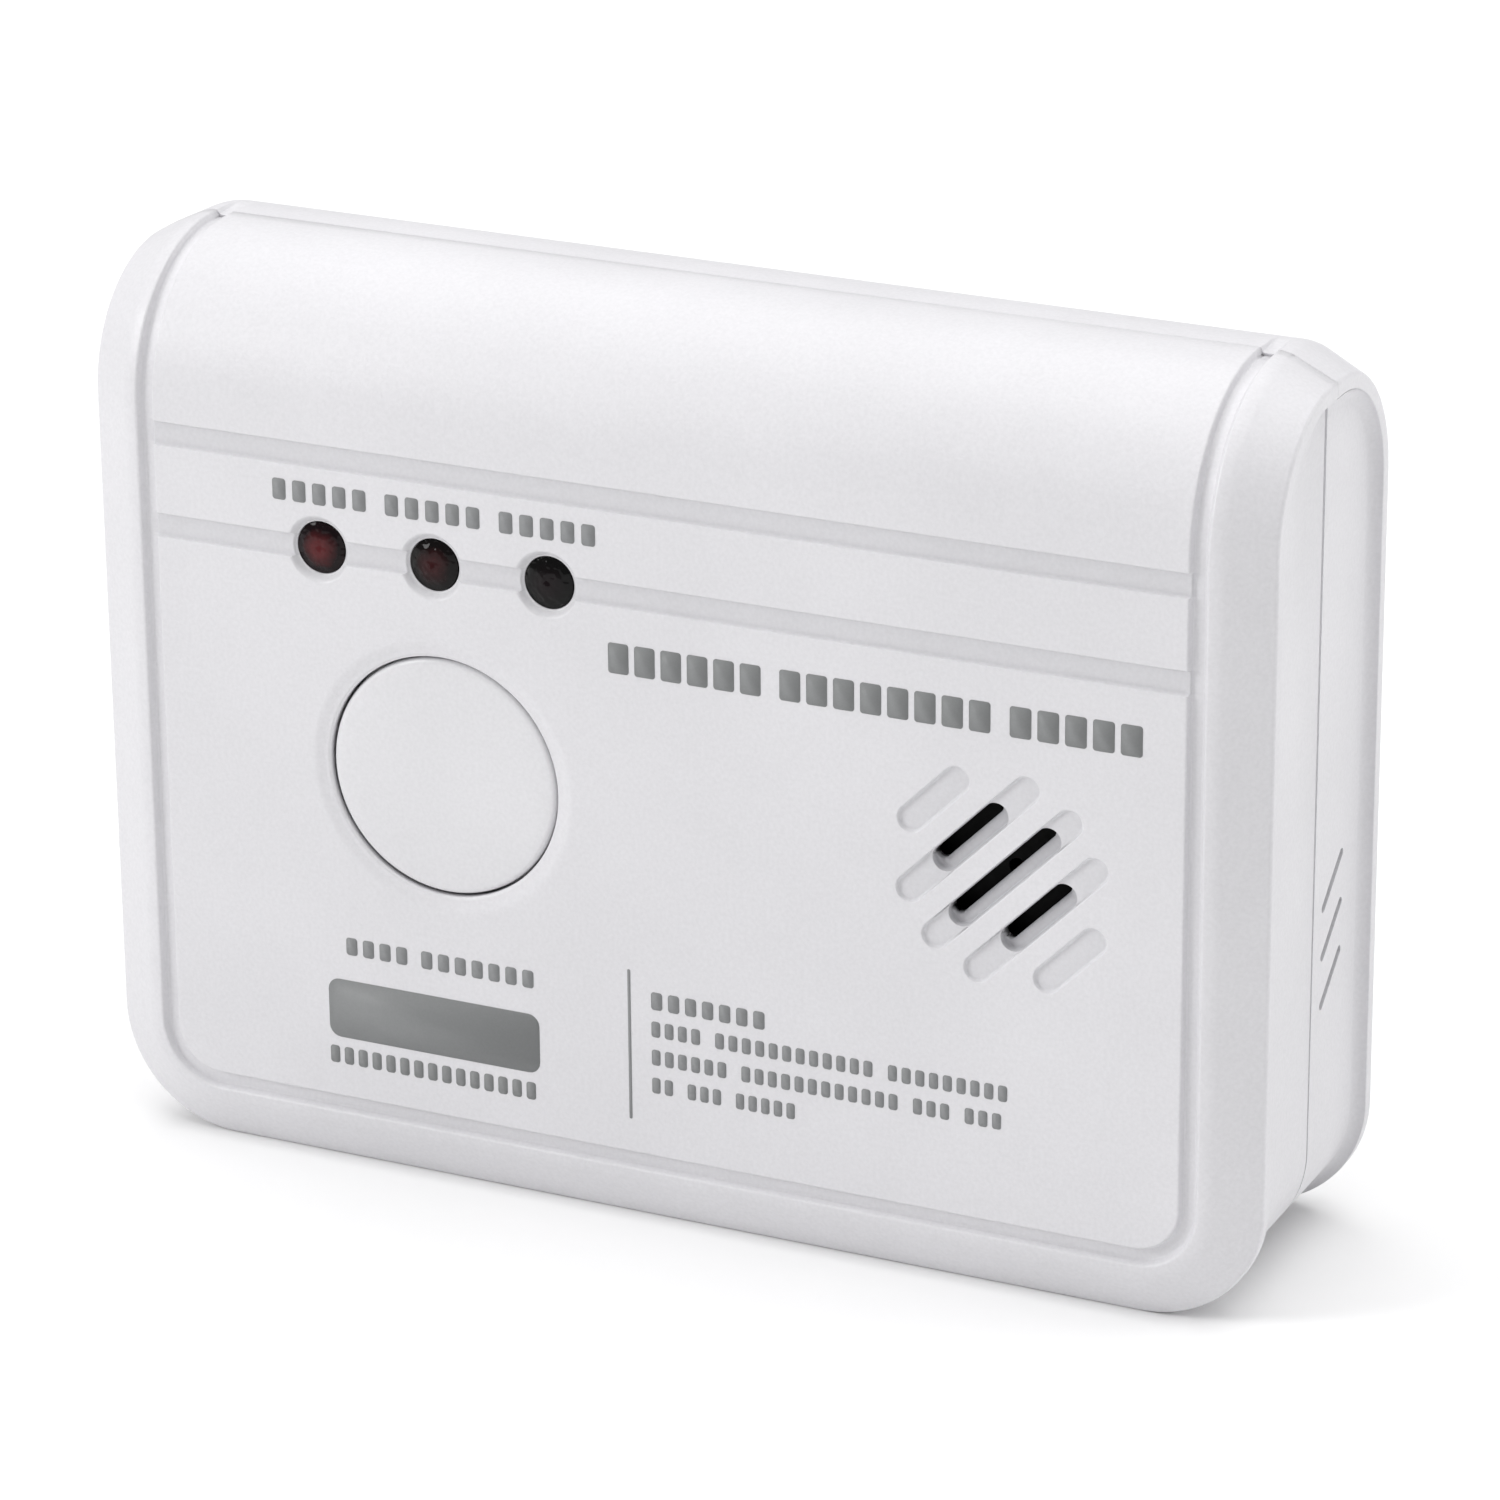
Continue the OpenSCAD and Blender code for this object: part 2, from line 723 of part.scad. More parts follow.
module rear_housing() {
  color([0.93, 0.93, 0.94]) difference() {
    union() {
      shell_half(1);
      cavity_ring(0, lap_land, -eps, lap_t + eps);
      cavity_ring(-lap_h, eps, fit_gap, lap_t - fit_gap);
      for (at = case_screw_at) rod_y(case_boss_r, fit_gap, rear_inside_y + eps, at[0], at[1]);
      bay_box();
      bay_flange();
      hinge_lug(door_x0 - door_gap - lug_w, door_x0 - door_gap);
      hinge_lug(door_x1 + door_gap, door_x1 + door_gap + lug_w);
    }
    channel_fade();
    seam_gap_cut();
    // Inside of the battery compartment
    block([bay_x0, bay_floor_y, bay_low_z], [bay_x1, rear_y + 1, bay_top_z]);
    // Opening for the door
    block([door_x0 - door_gap, door_in_y - door_rest, hinge_z - door_bead_r - door_gap],
          [door_x1 + door_gap, rear_y + 1, door_top_z + door_gap]);
    // Room for the hinge bead
    block([door_x0 - door_gap, hinge_y - door_bead_r - door_gap, hinge_z - door_bead_r - door_gap],
          [door_x1 + door_gap, rear_y, hinge_z + door_bead_r + bead_room]);
    rod_x(stub_r + run_gap, door_x0 - door_gap - stub_l, door_x1 + door_gap + stub_l, hinge_y, hinge_z);
    // Finger notch above the door
    intersection() {
      rod_y(nail_r, rear_y - nail_depth, rear_y + 1, cell_x, door_top_z + door_gap - nail_r + nail_rise);
      block([cell_x - nail_r, 0, door_top_z], [cell_x + nail_r, case_d, case_h]);
    }
    for (s = [-1, 1])
      translate([s * key_span / 2, 0, key_z]) along_y(rear_inside_y - 1, rear_y + 1) keyhole2d();
    for (at = case_screw_at) {
      rod_y(case_screw_r + shank_gap, -1, rear_y, at[0], at[1]);
      rod_y(case_head_r + head_gap, case_seat_y, rear_y + 1, at[0], at[1]);
    }
    both_sides() along_x(half_w - cavity_inset - 1, half_w + 1) vent2d();
    // Ways out for the two battery leads
    block([bay_x0 - bay_wall - 1, bay_floor_y, cell_z(0) - lead_hole_half],
          [bay_x0 + 1, bay_floor_y + lead_hole_d, cell_z(0) + lead_hole_half]);
    block([bay_x1 - 1, bay_floor_y, cell_z(2) - lead_hole_half],
          [bay_x1 + bay_wall + 1, bay_floor_y + lead_hole_d, cell_z(2) + lead_hole_half]);
  }
}

module battery_door() {
  color([0.92, 0.92, 0.93]) {
    difference() {
      union() {
        block([door_x0, door_in_y, hinge_z], [door_x1, rear_y, door_top_z]);
        rod_x(door_bead_r, door_x0, door_x1, hinge_y, hinge_z);
        rod_x(stub_r, door_x0 - stub_l, door_x1 + stub_l, hinge_y, hinge_z);
      }
      // Slits that free the latch tongue
      for (s = [-1, 1])
        translate([cell_x + s * (tongue_w + tongue_slit) / 2, rear_y, door_top_z - tongue_l / 2 + 1])
          cube([tongue_slit, 2 * door_t + 2, tongue_l + 2], center = true);
      // Grip lines on the tongue
      for (i = [0:2])
        rod_x(grip_r, cell_x - tongue_w / 2 + grip_in, cell_x + tongue_w / 2 - grip_in,
              rear_y + grip_rise, door_top_z - grip_pitch * (i + 1));
      // Shallow field for a blank label
      block([door_x0 + label_in, rear_y - label_depth, hinge_z + label_low],
            [door_x1 - label_in, rear_y + 1, door_top_z - label_top]);
    }
  }
}

module test_button() {
  stem_end = plunger_y - stem_gap;
  edge_y = button_y + button_crown;
  color([0.94, 0.94, 0.95]) translate([button_x, 0, button_z]) {
    difference() {
      union() {
        rod_y(button_d / 2, edge_y, button_lip_y + button_lip_h);
        rod_y(button_lip_r, button_lip_y, button_lip_y + button_lip_h);
        // Gently crowned face
        translate([0, edge_y, 0]) rotate([90, 0, 0])
          cylinder(r1 = button_d / 2, r2 = button_d / 2 - button_edge, h = button_crown);
      }
      rod_y(button_d / 2 - button_t, edge_y + button_t, stem_end + 1);
    }
    rod_y(stem_d / 2, edge_y + button_t / 2, stem_end);
    for (a = [0, 90]) rotate([0, a, 0])
      block([-button_d / 2 + button_t / 2, edge_y + button_t / 2, -button_rib_half],
            [button_d / 2 - button_t / 2, button_lip_y + button_lip_h, button_rib_half]);
  }
}

module switch_body() {
  color([0.15, 0.15, 0.16]) translate([button_x, 0, button_z]) difference() {
    block([-switch_w / 2, switch_top_y, -switch_w / 2], [switch_w / 2, board_front_y, switch_w / 2]);
    rod_y(plunger_d / 2 + run_gap, switch_top_y - 1,
          switch_top_y + plunger_foot + button_travel + plunger_under);
  }
}

module switch_plunger() {
  color([0.1, 0.1, 0.1]) rod_y(plunger_d / 2, plunger_y, switch_top_y + plunger_foot, button_x, button_z);
}

// One light: lens with a shallow crown, on a flange
module led_lens(x) {
  lens_h = led_flange_y - led_tip_y;
  crown_r = (led_d * led_d / 4 + led_crown * led_crown) / (2 * led_crown);
  translate([x, 0, led_groove_z]) {
    rod_y(led_flange_r, led_flange_y - led_flange_h, led_flange_y);
    translate([0, led_flange_y, 0]) rotate([90, 0, 0]) rotate_extrude() intersection() {
      square([led_d / 2, lens_h]);
      translate([0, lens_h - crown_r]) circle(r = crown_r);
    }
  }
}

module led_alarm() {
  color([0.22, 0.05, 0.05]) led_lens(led_x[0]);
}

module led_fault() {
  color([0.12, 0.06, 0.05]) led_lens(led_x[1]);
}

module led_power() {
  color([0.07, 0.06, 0.06]) led_lens(led_x[2]);
}

module led_spacers() {
  color([0.12, 0.12, 0.12]) for (x = led_x) difference() {
    rod_y(led_flange_r, led_flange_y, board_front_y, x, led_groove_z);
    for (s = [-1, 1])
      rod_y(led_lead_r + led_lead_gap, led_flange_y - 1, board_front_y + 1,
            x + s * led_lead_span, led_groove_z);
  }
}

module led_leads() {
  color([0.75, 0.75, 0.78]) for (x = led_x, s = [-1, 1])
    rod_y(led_lead_r, led_flange_y, board_rear_y + led_lead_tail,
          x + s * led_lead_span, led_groove_z, $fn = 24);
}

module circuit_board() {
  color([0.08, 0.35, 0.16]) difference() {
    block([-board_w / 2, board_front_y, board_low_z], [board_w / 2, board_rear_y, board_top_z]);
    for (at = board_screw_at)
      rod_y(board_screw_r + head_gap, board_front_y - 1, board_rear_y + 1, at[0], at[1]);
    for (x = led_x, s = [-1, 1])
      rod_y(led_lead_r + led_lead_gap, board_front_y - 1, board_rear_y + 1,
            x + s * led_lead_span, led_groove_z);
  }
}

// Screw along Y: shank from its seat towards the front, round head behind the seat
module screw(at, seat_y, length, r, head_r, head_h) {
  translate([at[0], seat_y, at[1]]) difference() {
    union() {
      rod_y(r, -length, eps);
      rod_y(head_r, 0, head_h);
    }
    for (a = [0, 90]) rotate([0, a, 0])
      block([-head_r * cross_share, head_h - cross_depth, -cross_half],
            [head_r * cross_share, head_h + 1, cross_half]);
  }
}

module board_screws() {
  color([0.72, 0.73, 0.75]) for (at = board_screw_at)
    screw(at, board_rear_y, board_screw_l, board_screw_r, board_head_r, board_head_h);
}

module case_screws() {
  color([0.72, 0.73, 0.75]) for (at = case_screw_at)
    screw(at, case_seat_y, case_screw_l, case_screw_r, case_head_r, case_head_h);
}

// Tube along Y, centred on the grille
module grille_tube(r_out, r_in, y0, y1) {
  translate([grille_x, 0, grille_z]) difference() {
    rod_y(r_out, y0, y1);
    rod_y(r_in, y0 - 1, y1 + 1);
  }
}

module sounder_gasket() {
  color([0.1, 0.1, 0.1]) grille_tube(sounder_d / 2, sounder_d / 2 - gasket_w, inside_y, sounder_y);
}

module sounder_chamber() {
  color([0.06, 0.06, 0.06]) translate([grille_x, 0, grille_z]) difference() {
    rod_y(sounder_d / 2, sounder_y, board_front_y);
    rod_y(piezo_d / 2 - piezo_ledge, sounder_y + sounder_floor, board_front_y + 1);
    rod_y(piezo_d / 2 + fit_gap, piezo_y, board_front_y + 1);
    rod_y(sounder_port_r, sounder_y - 1, piezo_y);
  }
}

module piezo_disc() {
  color([0.78, 0.62, 0.28]) rod_y(piezo_d / 2, piezo_y, piezo_y + piezo_t, grille_x, grille_z);
}

module piezo_ceramic() {
  color([0.85, 0.85, 0.82])
    rod_y(ceramic_d / 2, piezo_y + piezo_t, piezo_y + piezo_t + ceramic_t, grille_x, grille_z);
}

module piezo_ring() {
  color([0.06, 0.06, 0.06])
    grille_tube(piezo_d / 2, piezo_d / 2 - piezo_ring_w, piezo_y + piezo_t, board_front_y);
}

module sensor_body() {
  color([0.85, 0.85, 0.8]) difference() {
    rod_y(sensor_d / 2, board_rear_y + sensor_lift, sensor_top_y, sensor_x, sensor_z);
    rod_y(filter_d / 2, sensor_top_y - filter_t, sensor_top_y + 1, sensor_x, sensor_z);
  }
}

module sensor_cap() {
  color([0.75, 0.76, 0.78]) translate([sensor_x, 0, sensor_z]) difference() {
    rod_y(sensor_d / 2 + sensor_cap_t, sensor_top_y - sensor_skirt, sensor_top_y + sensor_cap_t);
    rod_y(sensor_d / 2, sensor_top_y - sensor_skirt - 1, sensor_top_y);
    rod_y(sensor_hole_r, sensor_top_y - 1, sensor_top_y + 2);
    for (i = [0:5]) rotate([0, 60 * i, 0])
      rod_y(sensor_hole_r, sensor_top_y - 1, sensor_top_y + 2, filter_d * 0.3);
  }
}

module sensor_filter() {
  color([0.95, 0.95, 0.95]) rod_y(filter_d / 2, sensor_top_y - filter_t, sensor_top_y, sensor_x, sensor_z);
}

module sensor_pins() {
  color([0.8, 0.7, 0.4]) for (a = [90, 210, 330])
    rod_y(sensor_pin_r, board_rear_y, board_rear_y + sensor_lift,
          sensor_x + sensor_pin_ring * cos(a), sensor_z + sensor_pin_ring * sin(a));
}

module control_chip() {
  color([0.12, 0.12, 0.13]) translate([chip_x, 0, chip_z]) difference() {
    block([-chip_l / 2, board_front_y - chip_t - part_gap, -chip_h / 2],
          [chip_l / 2, board_front_y - part_gap, chip_h / 2]);
    rod_y(chip_mark_r, board_front_y - chip_t - 1, board_front_y - chip_t + part_gap,
          -chip_l / 2 + chip_mark_in, -chip_h / 2 + chip_mark_in);
  }
}

module chip_legs() {
  color([0.78, 0.78, 0.8]) for (i = [0:7], s = [-1, 1])
    translate([chip_x + (i - 3.5) * chip_leg_pitch, 0, chip_z]) mirror([0, 0, s < 0 ? 1 : 0]) {
      // Foot on the board, shoulder at the chip, and the drop between them
      block([-chip_leg_w / 2, board_front_y - chip_leg_t, chip_h / 2 + chip_leg_out],
            [chip_leg_w / 2, board_front_y, chip_h / 2 + chip_foot_out]);
      block([-chip_leg_w / 2, board_front_y - chip_leg_rise, chip_h / 2],
            [chip_leg_w / 2, board_front_y - chip_leg_rise + chip_leg_t,
             chip_h / 2 + chip_leg_out + chip_leg_t]);
      block([-chip_leg_w / 2, board_front_y - chip_leg_rise, chip_h / 2 + chip_leg_out],
            [chip_leg_w / 2, board_front_y, chip_h / 2 + chip_leg_out + chip_leg_t]);
    }
}

module capacitors() {
  color([0.1, 0.12, 0.2]) for (x = capacitor_x) translate([x, 0, rear_part_z]) difference() {
    rod_y(capacitor_r, board_rear_y, board_rear_y + capacitor_h);
    // Crimped ring near the foot
    rotate([90, 0, 0]) translate([0, 0, -board_rear_y - crimp_y]) rotate_extrude()
      translate([capacitor_r + crimp_out, 0]) circle(r = crimp_r);
  }
}

module inductor_core() {
  color([0.2, 0.2, 0.2]) translate([inductor_x, 0, rear_part_z]) {
    rod_y(inductor_r, board_rear_y, board_rear_y + inductor_flange);
    rod_y(inductor_core_r, board_rear_y, board_rear_y + inductor_h);
    rod_y(inductor_r, board_rear_y + inductor_h - inductor_flange, board_rear_y + inductor_h);
  }
}

module inductor_winding() {
  color([0.7, 0.35, 0.15]) translate([inductor_x, 0, rear_part_z]) difference() {
    rod_y(inductor_r - winding_in, board_rear_y + inductor_flange,
          board_rear_y + inductor_h - inductor_flange);
    rod_y(inductor_core_r, board_rear_y, board_rear_y + inductor_h);
  }
}

module resistors() {
  color([0.82, 0.7, 0.5]) for (i = [0:resistor_n - 1])
    translate([resistor_x0 + resistor_pitch * i, board_front_y - resistor_r - part_gap, resistor_z]) {
      translate([0, 0, -resistor_l / 2]) cylinder(r = resistor_r, h = resistor_l);
      translate([0, 0, -resistor_l / 2 - resistor_wire_l])
        cylinder(r = resistor_wire_r, h = resistor_l + 2 * resistor_wire_l);
    }
}

module driver_transistor() {
  color([0.1, 0.1, 0.1]) translate([transistor_x, 0, transistor_z]) difference() {
    rod_y(transistor_r, board_front_y - transistor_h, board_front_y - transistor_gap);
    block([-transistor_h, board_front_y - transistor_h - 1, -transistor_h],
          [transistor_h, board_front_y, -transistor_flat]);
  }
}

// Turns what belongs to the middle cell end for end, as the cells are in series
module cell_turn(i) {
  translate([cell_x, 0, 0]) mirror([i % 2, 0, 0]) translate([-cell_x, 0, 0]) children();
}

// One cell with its nub
module cell(i) {
  cell_turn(i) translate([cell_x0, cell_y, cell_z(i)]) {
    rod_x(cell_d / 2, cell_step_l, cell_l - nub_l - cell_step_l);
    rod_x(cell_d / 2 - cell_step_r, 0, cell_l - nub_l);
    rod_x(nub_r, cell_l - nub_l - eps, cell_l);
  }
}

module battery_1() {
  color([0.25, 0.27, 0.3]) cell(0);
}

module battery_2() {
  color([0.25, 0.27, 0.3]) cell(1);
}

module battery_3() {
  color([0.25, 0.27, 0.3]) cell(2);
}

// Point t of the way along a spring's wire, and the direction outwards from its axis there
function coil_at(t) = let (a = 360 * coil_turns * t, r = coil_r0 + (coil_r1 - coil_r0) * t)
  [coil_wire_r + t * (spring_room - 2 * coil_wire_r), r * cos(a), r * sin(a)];
function coil_out(t) = let (a = 360 * coil_turns * t) [0, cos(a), sin(a)];

// One spring: a round wire along those points
module coil_spring() {
  points = [for (k = [0:coil_n], j = [0:coil_sides - 1])
    let (t = k / coil_n, b = 360 * j / coil_sides)
    coil_at(t) + coil_wire_r * (cos(b) * coil_out(t) + sin(b) * [1, 0, 0])];
  sides = [for (k = [0:coil_n - 1], j = [0:coil_sides - 1])
    let (a = k * coil_sides, b = (j + 1) % coil_sides)
    [a + j, a + b, a + coil_sides + b, a + coil_sides + j]];
  ends = [
    [for (j = [coil_sides - 1:-1:0]) j],
    [for (j = [0:coil_sides - 1]) coil_n * coil_sides + j]
  ];
  polyhedron(points = points, faces = concat(ends, sides));
}

module contact_springs() {
  color([0.8, 0.8, 0.78]) for (i = cells)
    cell_turn(i) translate([spring_x0, cell_y, cell_z(i)]) coil_spring();
}

// Contact plate on a compartment end wall, from cell i to cell j
module contact_plate(x, i, j) {
  block([x, bay_floor_y + cell_floor_gap, cell_z(i) - plate_w / 2],
        [x + plate_t, cell_y + plate_w / 2, cell_z(j) + plate_w / 2]);
}

module contact_plates() {
  x0 = bay_x0 + plate_back;
  x1 = bay_x1 - plate_back - plate_t;
  color([0.8, 0.8, 0.78]) {
    contact_plate(x0, 0, 0);
    contact_plate(x0, 1, 2);
    contact_plate(x1, 0, 1);
    contact_plate(x1, 2, 2);
  }
}

// Lead from the contact of cell i, out through the left wall, then forward to the board
module lead(i) {
  bend_x = bay_x0 - bay_wall - lead_out;
  translate([0, 0, cell_z(i)]) {
    rod_x(lead_r, bend_x, bay_x0 + plate_back, lead_y, 0);
    translate([bend_x, lead_y - lead_bend, 0]) rotate([0, 0, 90]) rotate_extrude(angle = 90)
      translate([lead_bend, 0]) circle(r = lead_r);
    rod_y(lead_r, board_rear_y, lead_y - lead_bend, bend_x - lead_bend, 0);
  }
}

module lead_black() {
  color([0.08, 0.08, 0.08]) lead(0);
}

module lead_red() {
  color([0.75, 0.08, 0.08]) translate([cell_x, 0, 0]) mirror([1, 0, 0]) translate([-cell_x, 0, 0]) lead(2);
}

front_cover();
rear_housing();
battery_door();
test_button();
switch_body();
switch_plunger();
led_alarm();
led_fault();
led_power();
led_spacers();
led_leads();
circuit_board();
board_screws();
case_screws();
sounder_gasket();
sounder_chamber();
piezo_disc();
piezo_ceramic();
piezo_ring();
sensor_body();
sensor_cap();
sensor_filter();
sensor_pins();
control_chip();
chip_legs();
capacitors();
inductor_core();
inductor_winding();
resistors();
driver_transistor();
battery_1();
battery_2();
battery_3();
contact_springs();
contact_plates();
lead_red();
lead_black();
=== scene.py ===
import json
from math import cos, hypot, pi, radians, sin, sqrt

import bmesh
import bpy
from mathutils import Matrix, Vector
from mathutils.geometry import delaunay_2d_cdt
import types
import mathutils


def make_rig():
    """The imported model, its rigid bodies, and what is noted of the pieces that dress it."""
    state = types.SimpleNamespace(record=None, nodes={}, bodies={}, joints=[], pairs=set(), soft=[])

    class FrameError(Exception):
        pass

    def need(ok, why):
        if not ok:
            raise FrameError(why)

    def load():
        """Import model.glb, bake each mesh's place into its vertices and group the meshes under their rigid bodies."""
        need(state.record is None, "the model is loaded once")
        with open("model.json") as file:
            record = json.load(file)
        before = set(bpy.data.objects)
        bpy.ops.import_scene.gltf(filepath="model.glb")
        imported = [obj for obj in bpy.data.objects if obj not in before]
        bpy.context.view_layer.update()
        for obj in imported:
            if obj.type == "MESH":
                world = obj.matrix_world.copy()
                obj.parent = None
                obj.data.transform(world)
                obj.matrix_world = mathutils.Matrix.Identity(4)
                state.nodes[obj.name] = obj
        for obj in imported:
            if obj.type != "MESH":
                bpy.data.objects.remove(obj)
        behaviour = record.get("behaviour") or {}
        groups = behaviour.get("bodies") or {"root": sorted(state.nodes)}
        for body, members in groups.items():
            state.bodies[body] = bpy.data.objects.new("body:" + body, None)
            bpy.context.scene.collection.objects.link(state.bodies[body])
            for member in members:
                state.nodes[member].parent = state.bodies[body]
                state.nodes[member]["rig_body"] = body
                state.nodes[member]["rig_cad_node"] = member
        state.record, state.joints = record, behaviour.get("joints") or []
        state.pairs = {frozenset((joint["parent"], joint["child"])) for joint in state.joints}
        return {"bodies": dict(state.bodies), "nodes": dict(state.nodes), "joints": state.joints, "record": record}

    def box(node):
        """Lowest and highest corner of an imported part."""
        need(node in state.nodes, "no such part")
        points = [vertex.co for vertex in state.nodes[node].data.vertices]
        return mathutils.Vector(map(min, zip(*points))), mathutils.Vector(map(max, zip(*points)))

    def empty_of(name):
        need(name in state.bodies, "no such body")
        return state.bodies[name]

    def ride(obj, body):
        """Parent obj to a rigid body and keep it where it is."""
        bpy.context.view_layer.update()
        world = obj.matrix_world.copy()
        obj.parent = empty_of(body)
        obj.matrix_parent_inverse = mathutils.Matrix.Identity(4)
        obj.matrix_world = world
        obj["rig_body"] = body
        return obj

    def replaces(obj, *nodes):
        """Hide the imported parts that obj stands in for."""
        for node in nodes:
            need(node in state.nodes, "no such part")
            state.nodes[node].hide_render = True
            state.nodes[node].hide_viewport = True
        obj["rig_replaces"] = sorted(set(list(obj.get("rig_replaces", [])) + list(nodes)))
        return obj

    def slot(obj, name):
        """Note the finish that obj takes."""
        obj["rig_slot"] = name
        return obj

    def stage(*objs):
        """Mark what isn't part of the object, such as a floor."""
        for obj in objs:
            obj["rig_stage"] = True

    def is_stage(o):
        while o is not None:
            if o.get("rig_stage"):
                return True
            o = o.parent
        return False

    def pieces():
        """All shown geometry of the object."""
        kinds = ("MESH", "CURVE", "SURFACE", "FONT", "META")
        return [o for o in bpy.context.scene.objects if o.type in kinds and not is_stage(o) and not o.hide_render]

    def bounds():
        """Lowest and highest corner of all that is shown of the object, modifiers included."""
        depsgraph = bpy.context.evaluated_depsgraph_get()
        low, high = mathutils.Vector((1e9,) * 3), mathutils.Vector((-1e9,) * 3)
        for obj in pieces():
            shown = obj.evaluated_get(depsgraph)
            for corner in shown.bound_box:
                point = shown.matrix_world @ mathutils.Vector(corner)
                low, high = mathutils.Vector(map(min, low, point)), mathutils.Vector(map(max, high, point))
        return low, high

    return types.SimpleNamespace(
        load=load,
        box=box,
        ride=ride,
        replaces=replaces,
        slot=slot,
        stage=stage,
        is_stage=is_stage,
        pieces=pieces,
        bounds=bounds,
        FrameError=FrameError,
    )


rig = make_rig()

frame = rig.load()
cad_box = [list(corner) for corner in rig.bounds()]

# ---------------------------------------------------------------------------
# Sizes in millimetres, in the CAD model's frame: X right, front along -Y, Z up
# ---------------------------------------------------------------------------
MM = 0.001


def node_box(name):
    """Lowest and highest corner of a CAD node, in millimetres."""
    low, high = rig.box(name)
    return low / MM, high / MM


def node_mid(name):
    low, high = node_box(name)
    return (low + high) / 2


HALF_W = cad_box[1][0] / MM
HALF_D = cad_box[1][1] / MM
TOP = cad_box[1][2] / MM
CORNER_R = 12
ARCH_R = 15
ARCH_Y = HALF_D - ARCH_R
ARCH_Z = TOP - ARCH_R
WALL = 2.2
SEAM = 0.02                      # each shell ends this far from the middle plane

# Rim: flat, a round of RIM_ROUND, a slope down to the edge, a narrow land, then a step in
RIM_W = 5.8
RIM_ROUND = 4
RIM_ANGLE = radians(26)
RIM_EDGE_R = 0.5
RIM_LAND = 1.2
RIM_STEP = 1.2
FRONT_FILLET = 0.4               # where the step meets the side wall
REAR_FILLET = RIM_STEP - 0.05
PANEL_IN = 7.4
CHANNEL_DEPTH = 0.75
CHANNEL_FADE = 5                 # length over which the channel fades out behind the seam
FADE_DEPTH = 0.5
SEAM_GAP_LOW = 0.3
SEAM_GAP_TOP = 0.6
SEAM_GAP_DEPTH = 0.5
SEAM_GAP_SHORT = 0.15            # the gap stops this far under the rim's land

GROOVE_Z = 63.55
GROOVE_GAP = 9.2
GROOVE_W = 2.35
GROOVE_DEPTH = 0.45
GROOVE_SHORT = 0.6               # a groove stops this far from the rim, inside the channel

LED_SEAT_R = 3.4
LED_SEAT_DEPTH = 0.7
LED_HOLE_R = 2.6

VENT_MID = Vector((HALF_D * 0.31, 32.8))
VENT_PITCH = 4.9
VENT_L = 6.8
VENT_W = 0.9
VENT_ANGLE = 41

DOOR_LOW, DOOR_HIGH = node_box("battery_door")
DOOR_GAP = 0.35
STUB_L = 1.2
PLATES_LOW, PLATES_HIGH = node_box("contact_plates")
PLATE_GAP = 0.2
CELLS_LOW = node_box("battery_1")[0]
CELLS_HIGH = node_box("battery_3")[1]
CELL_GAP_Y = 0.3
CELL_GAP_Z = 0.45
BAY_LOW = Vector((PLATES_LOW.x - PLATE_GAP, CELLS_LOW.y - CELL_GAP_Y, CELLS_LOW.z - CELL_GAP_Z))
BAY_HIGH = Vector((PLATES_HIGH.x + PLATE_GAP, HALF_D - WALL, CELLS_HIGH.z + CELL_GAP_Z))
BAY_WALL = 1.4
FLANGE = 1                       # the bay's flange reaches this far past the door's opening
KEY_X = 30
KEY_Z = 66.95
KEY_R = 4.2
KEY_SLOT_R = 2.2
KEY_RISE = 5.5
SCREW_LOW, SCREW_HIGH = node_box("case_screws")
SCREW_HEAD_R = 2.9
SCREW_GAP = 0.3
SCREW_WELL_R = SCREW_HEAD_R + 1.3
SCREW_HOLE_R = 1.7
SCREW_SEAT_Y = 4
NOTCH_R = 9
NOTCH_RISE = 2.2                 # height of the finger notch over the door's opening

BUTTON = node_mid("test_button")
BUTTON_R = 11.85
BUTTON_HOLE_R = 12.07
DISH_W = 1.83
DISH_DEPTH = 0.35

GRILLE = node_mid("sounder_gasket")
GRILLE_R = 10.6
PILL_PITCH = 4.8
PILL_R = 1.35
PILL_DEPTH = 0.4
POCKET_DEPTH = 1.3
POCKET_SHARES = (0.65, 0.43)     # of a recess's length: the middle recess, the two beside it
POCKET_SHIFT = 0.2
POCKET_IN = 0.06
SLOT_R = 0.64
SLOT_IN = 0.12
SLOT_EXTRA = 0.3
MARK_PROUD = 0.03                # print marks stand this far out of the panel

# Distance up the front, over the arch and along the top to the seam
S_TOP = ARCH_Z + ARCH_R * pi / 2
S_END = S_TOP + ARCH_Y - SEAM
ROWS = [ARCH_Z + ARCH_R * radians(3 * k) for k in range(1, 31)]


# ---------------------------------------------------------------------------
# Cross-sections and outlines
# ---------------------------------------------------------------------------
def arc(x, y, r, start, end, steps):
    """Points of an arc, angles in degrees."""
    turn = [radians(start + (end - start) * k / steps) for k in range(steps + 1)]
    return [(x + r * cos(a), y + r * sin(a)) for a in turn]


def edge(depth, r_top, r_low, base=0.0, wall=0.05):
    """Cross-section of an edge: [(distance in, depth)], rounded by r_top above and r_low below."""
    top = [(-r_top + px, base + r_top + py) for px, py in arc(0, 0, r_top, -90, -6, 5)]
    low = [(wall + r_low + px, base + depth - r_low + py) for px, py in arc(0, 0, r_low, 174, 90, 5)]
    return top + low


def hole_edge(r):
    """Cross-section of the rounded edge of a hole cut straight through."""
    return edge(0.5, r, 0.05)[:6]


NO_EDGE = [(0, 0), (1, 0)]       # cross-section of a hole that ends a recess and has no edge of its own


def lookup(keys, t):
    """Depth at distance t in."""
    if t <= keys[0][0]:
        return 0.0
    for (t0, d0), (t1, d1) in zip(keys, keys[1:]):
        if t <= t1:
            return d0 + (d1 - d0) * (t - t0) / (t1 - t0)
    return keys[-1][1]


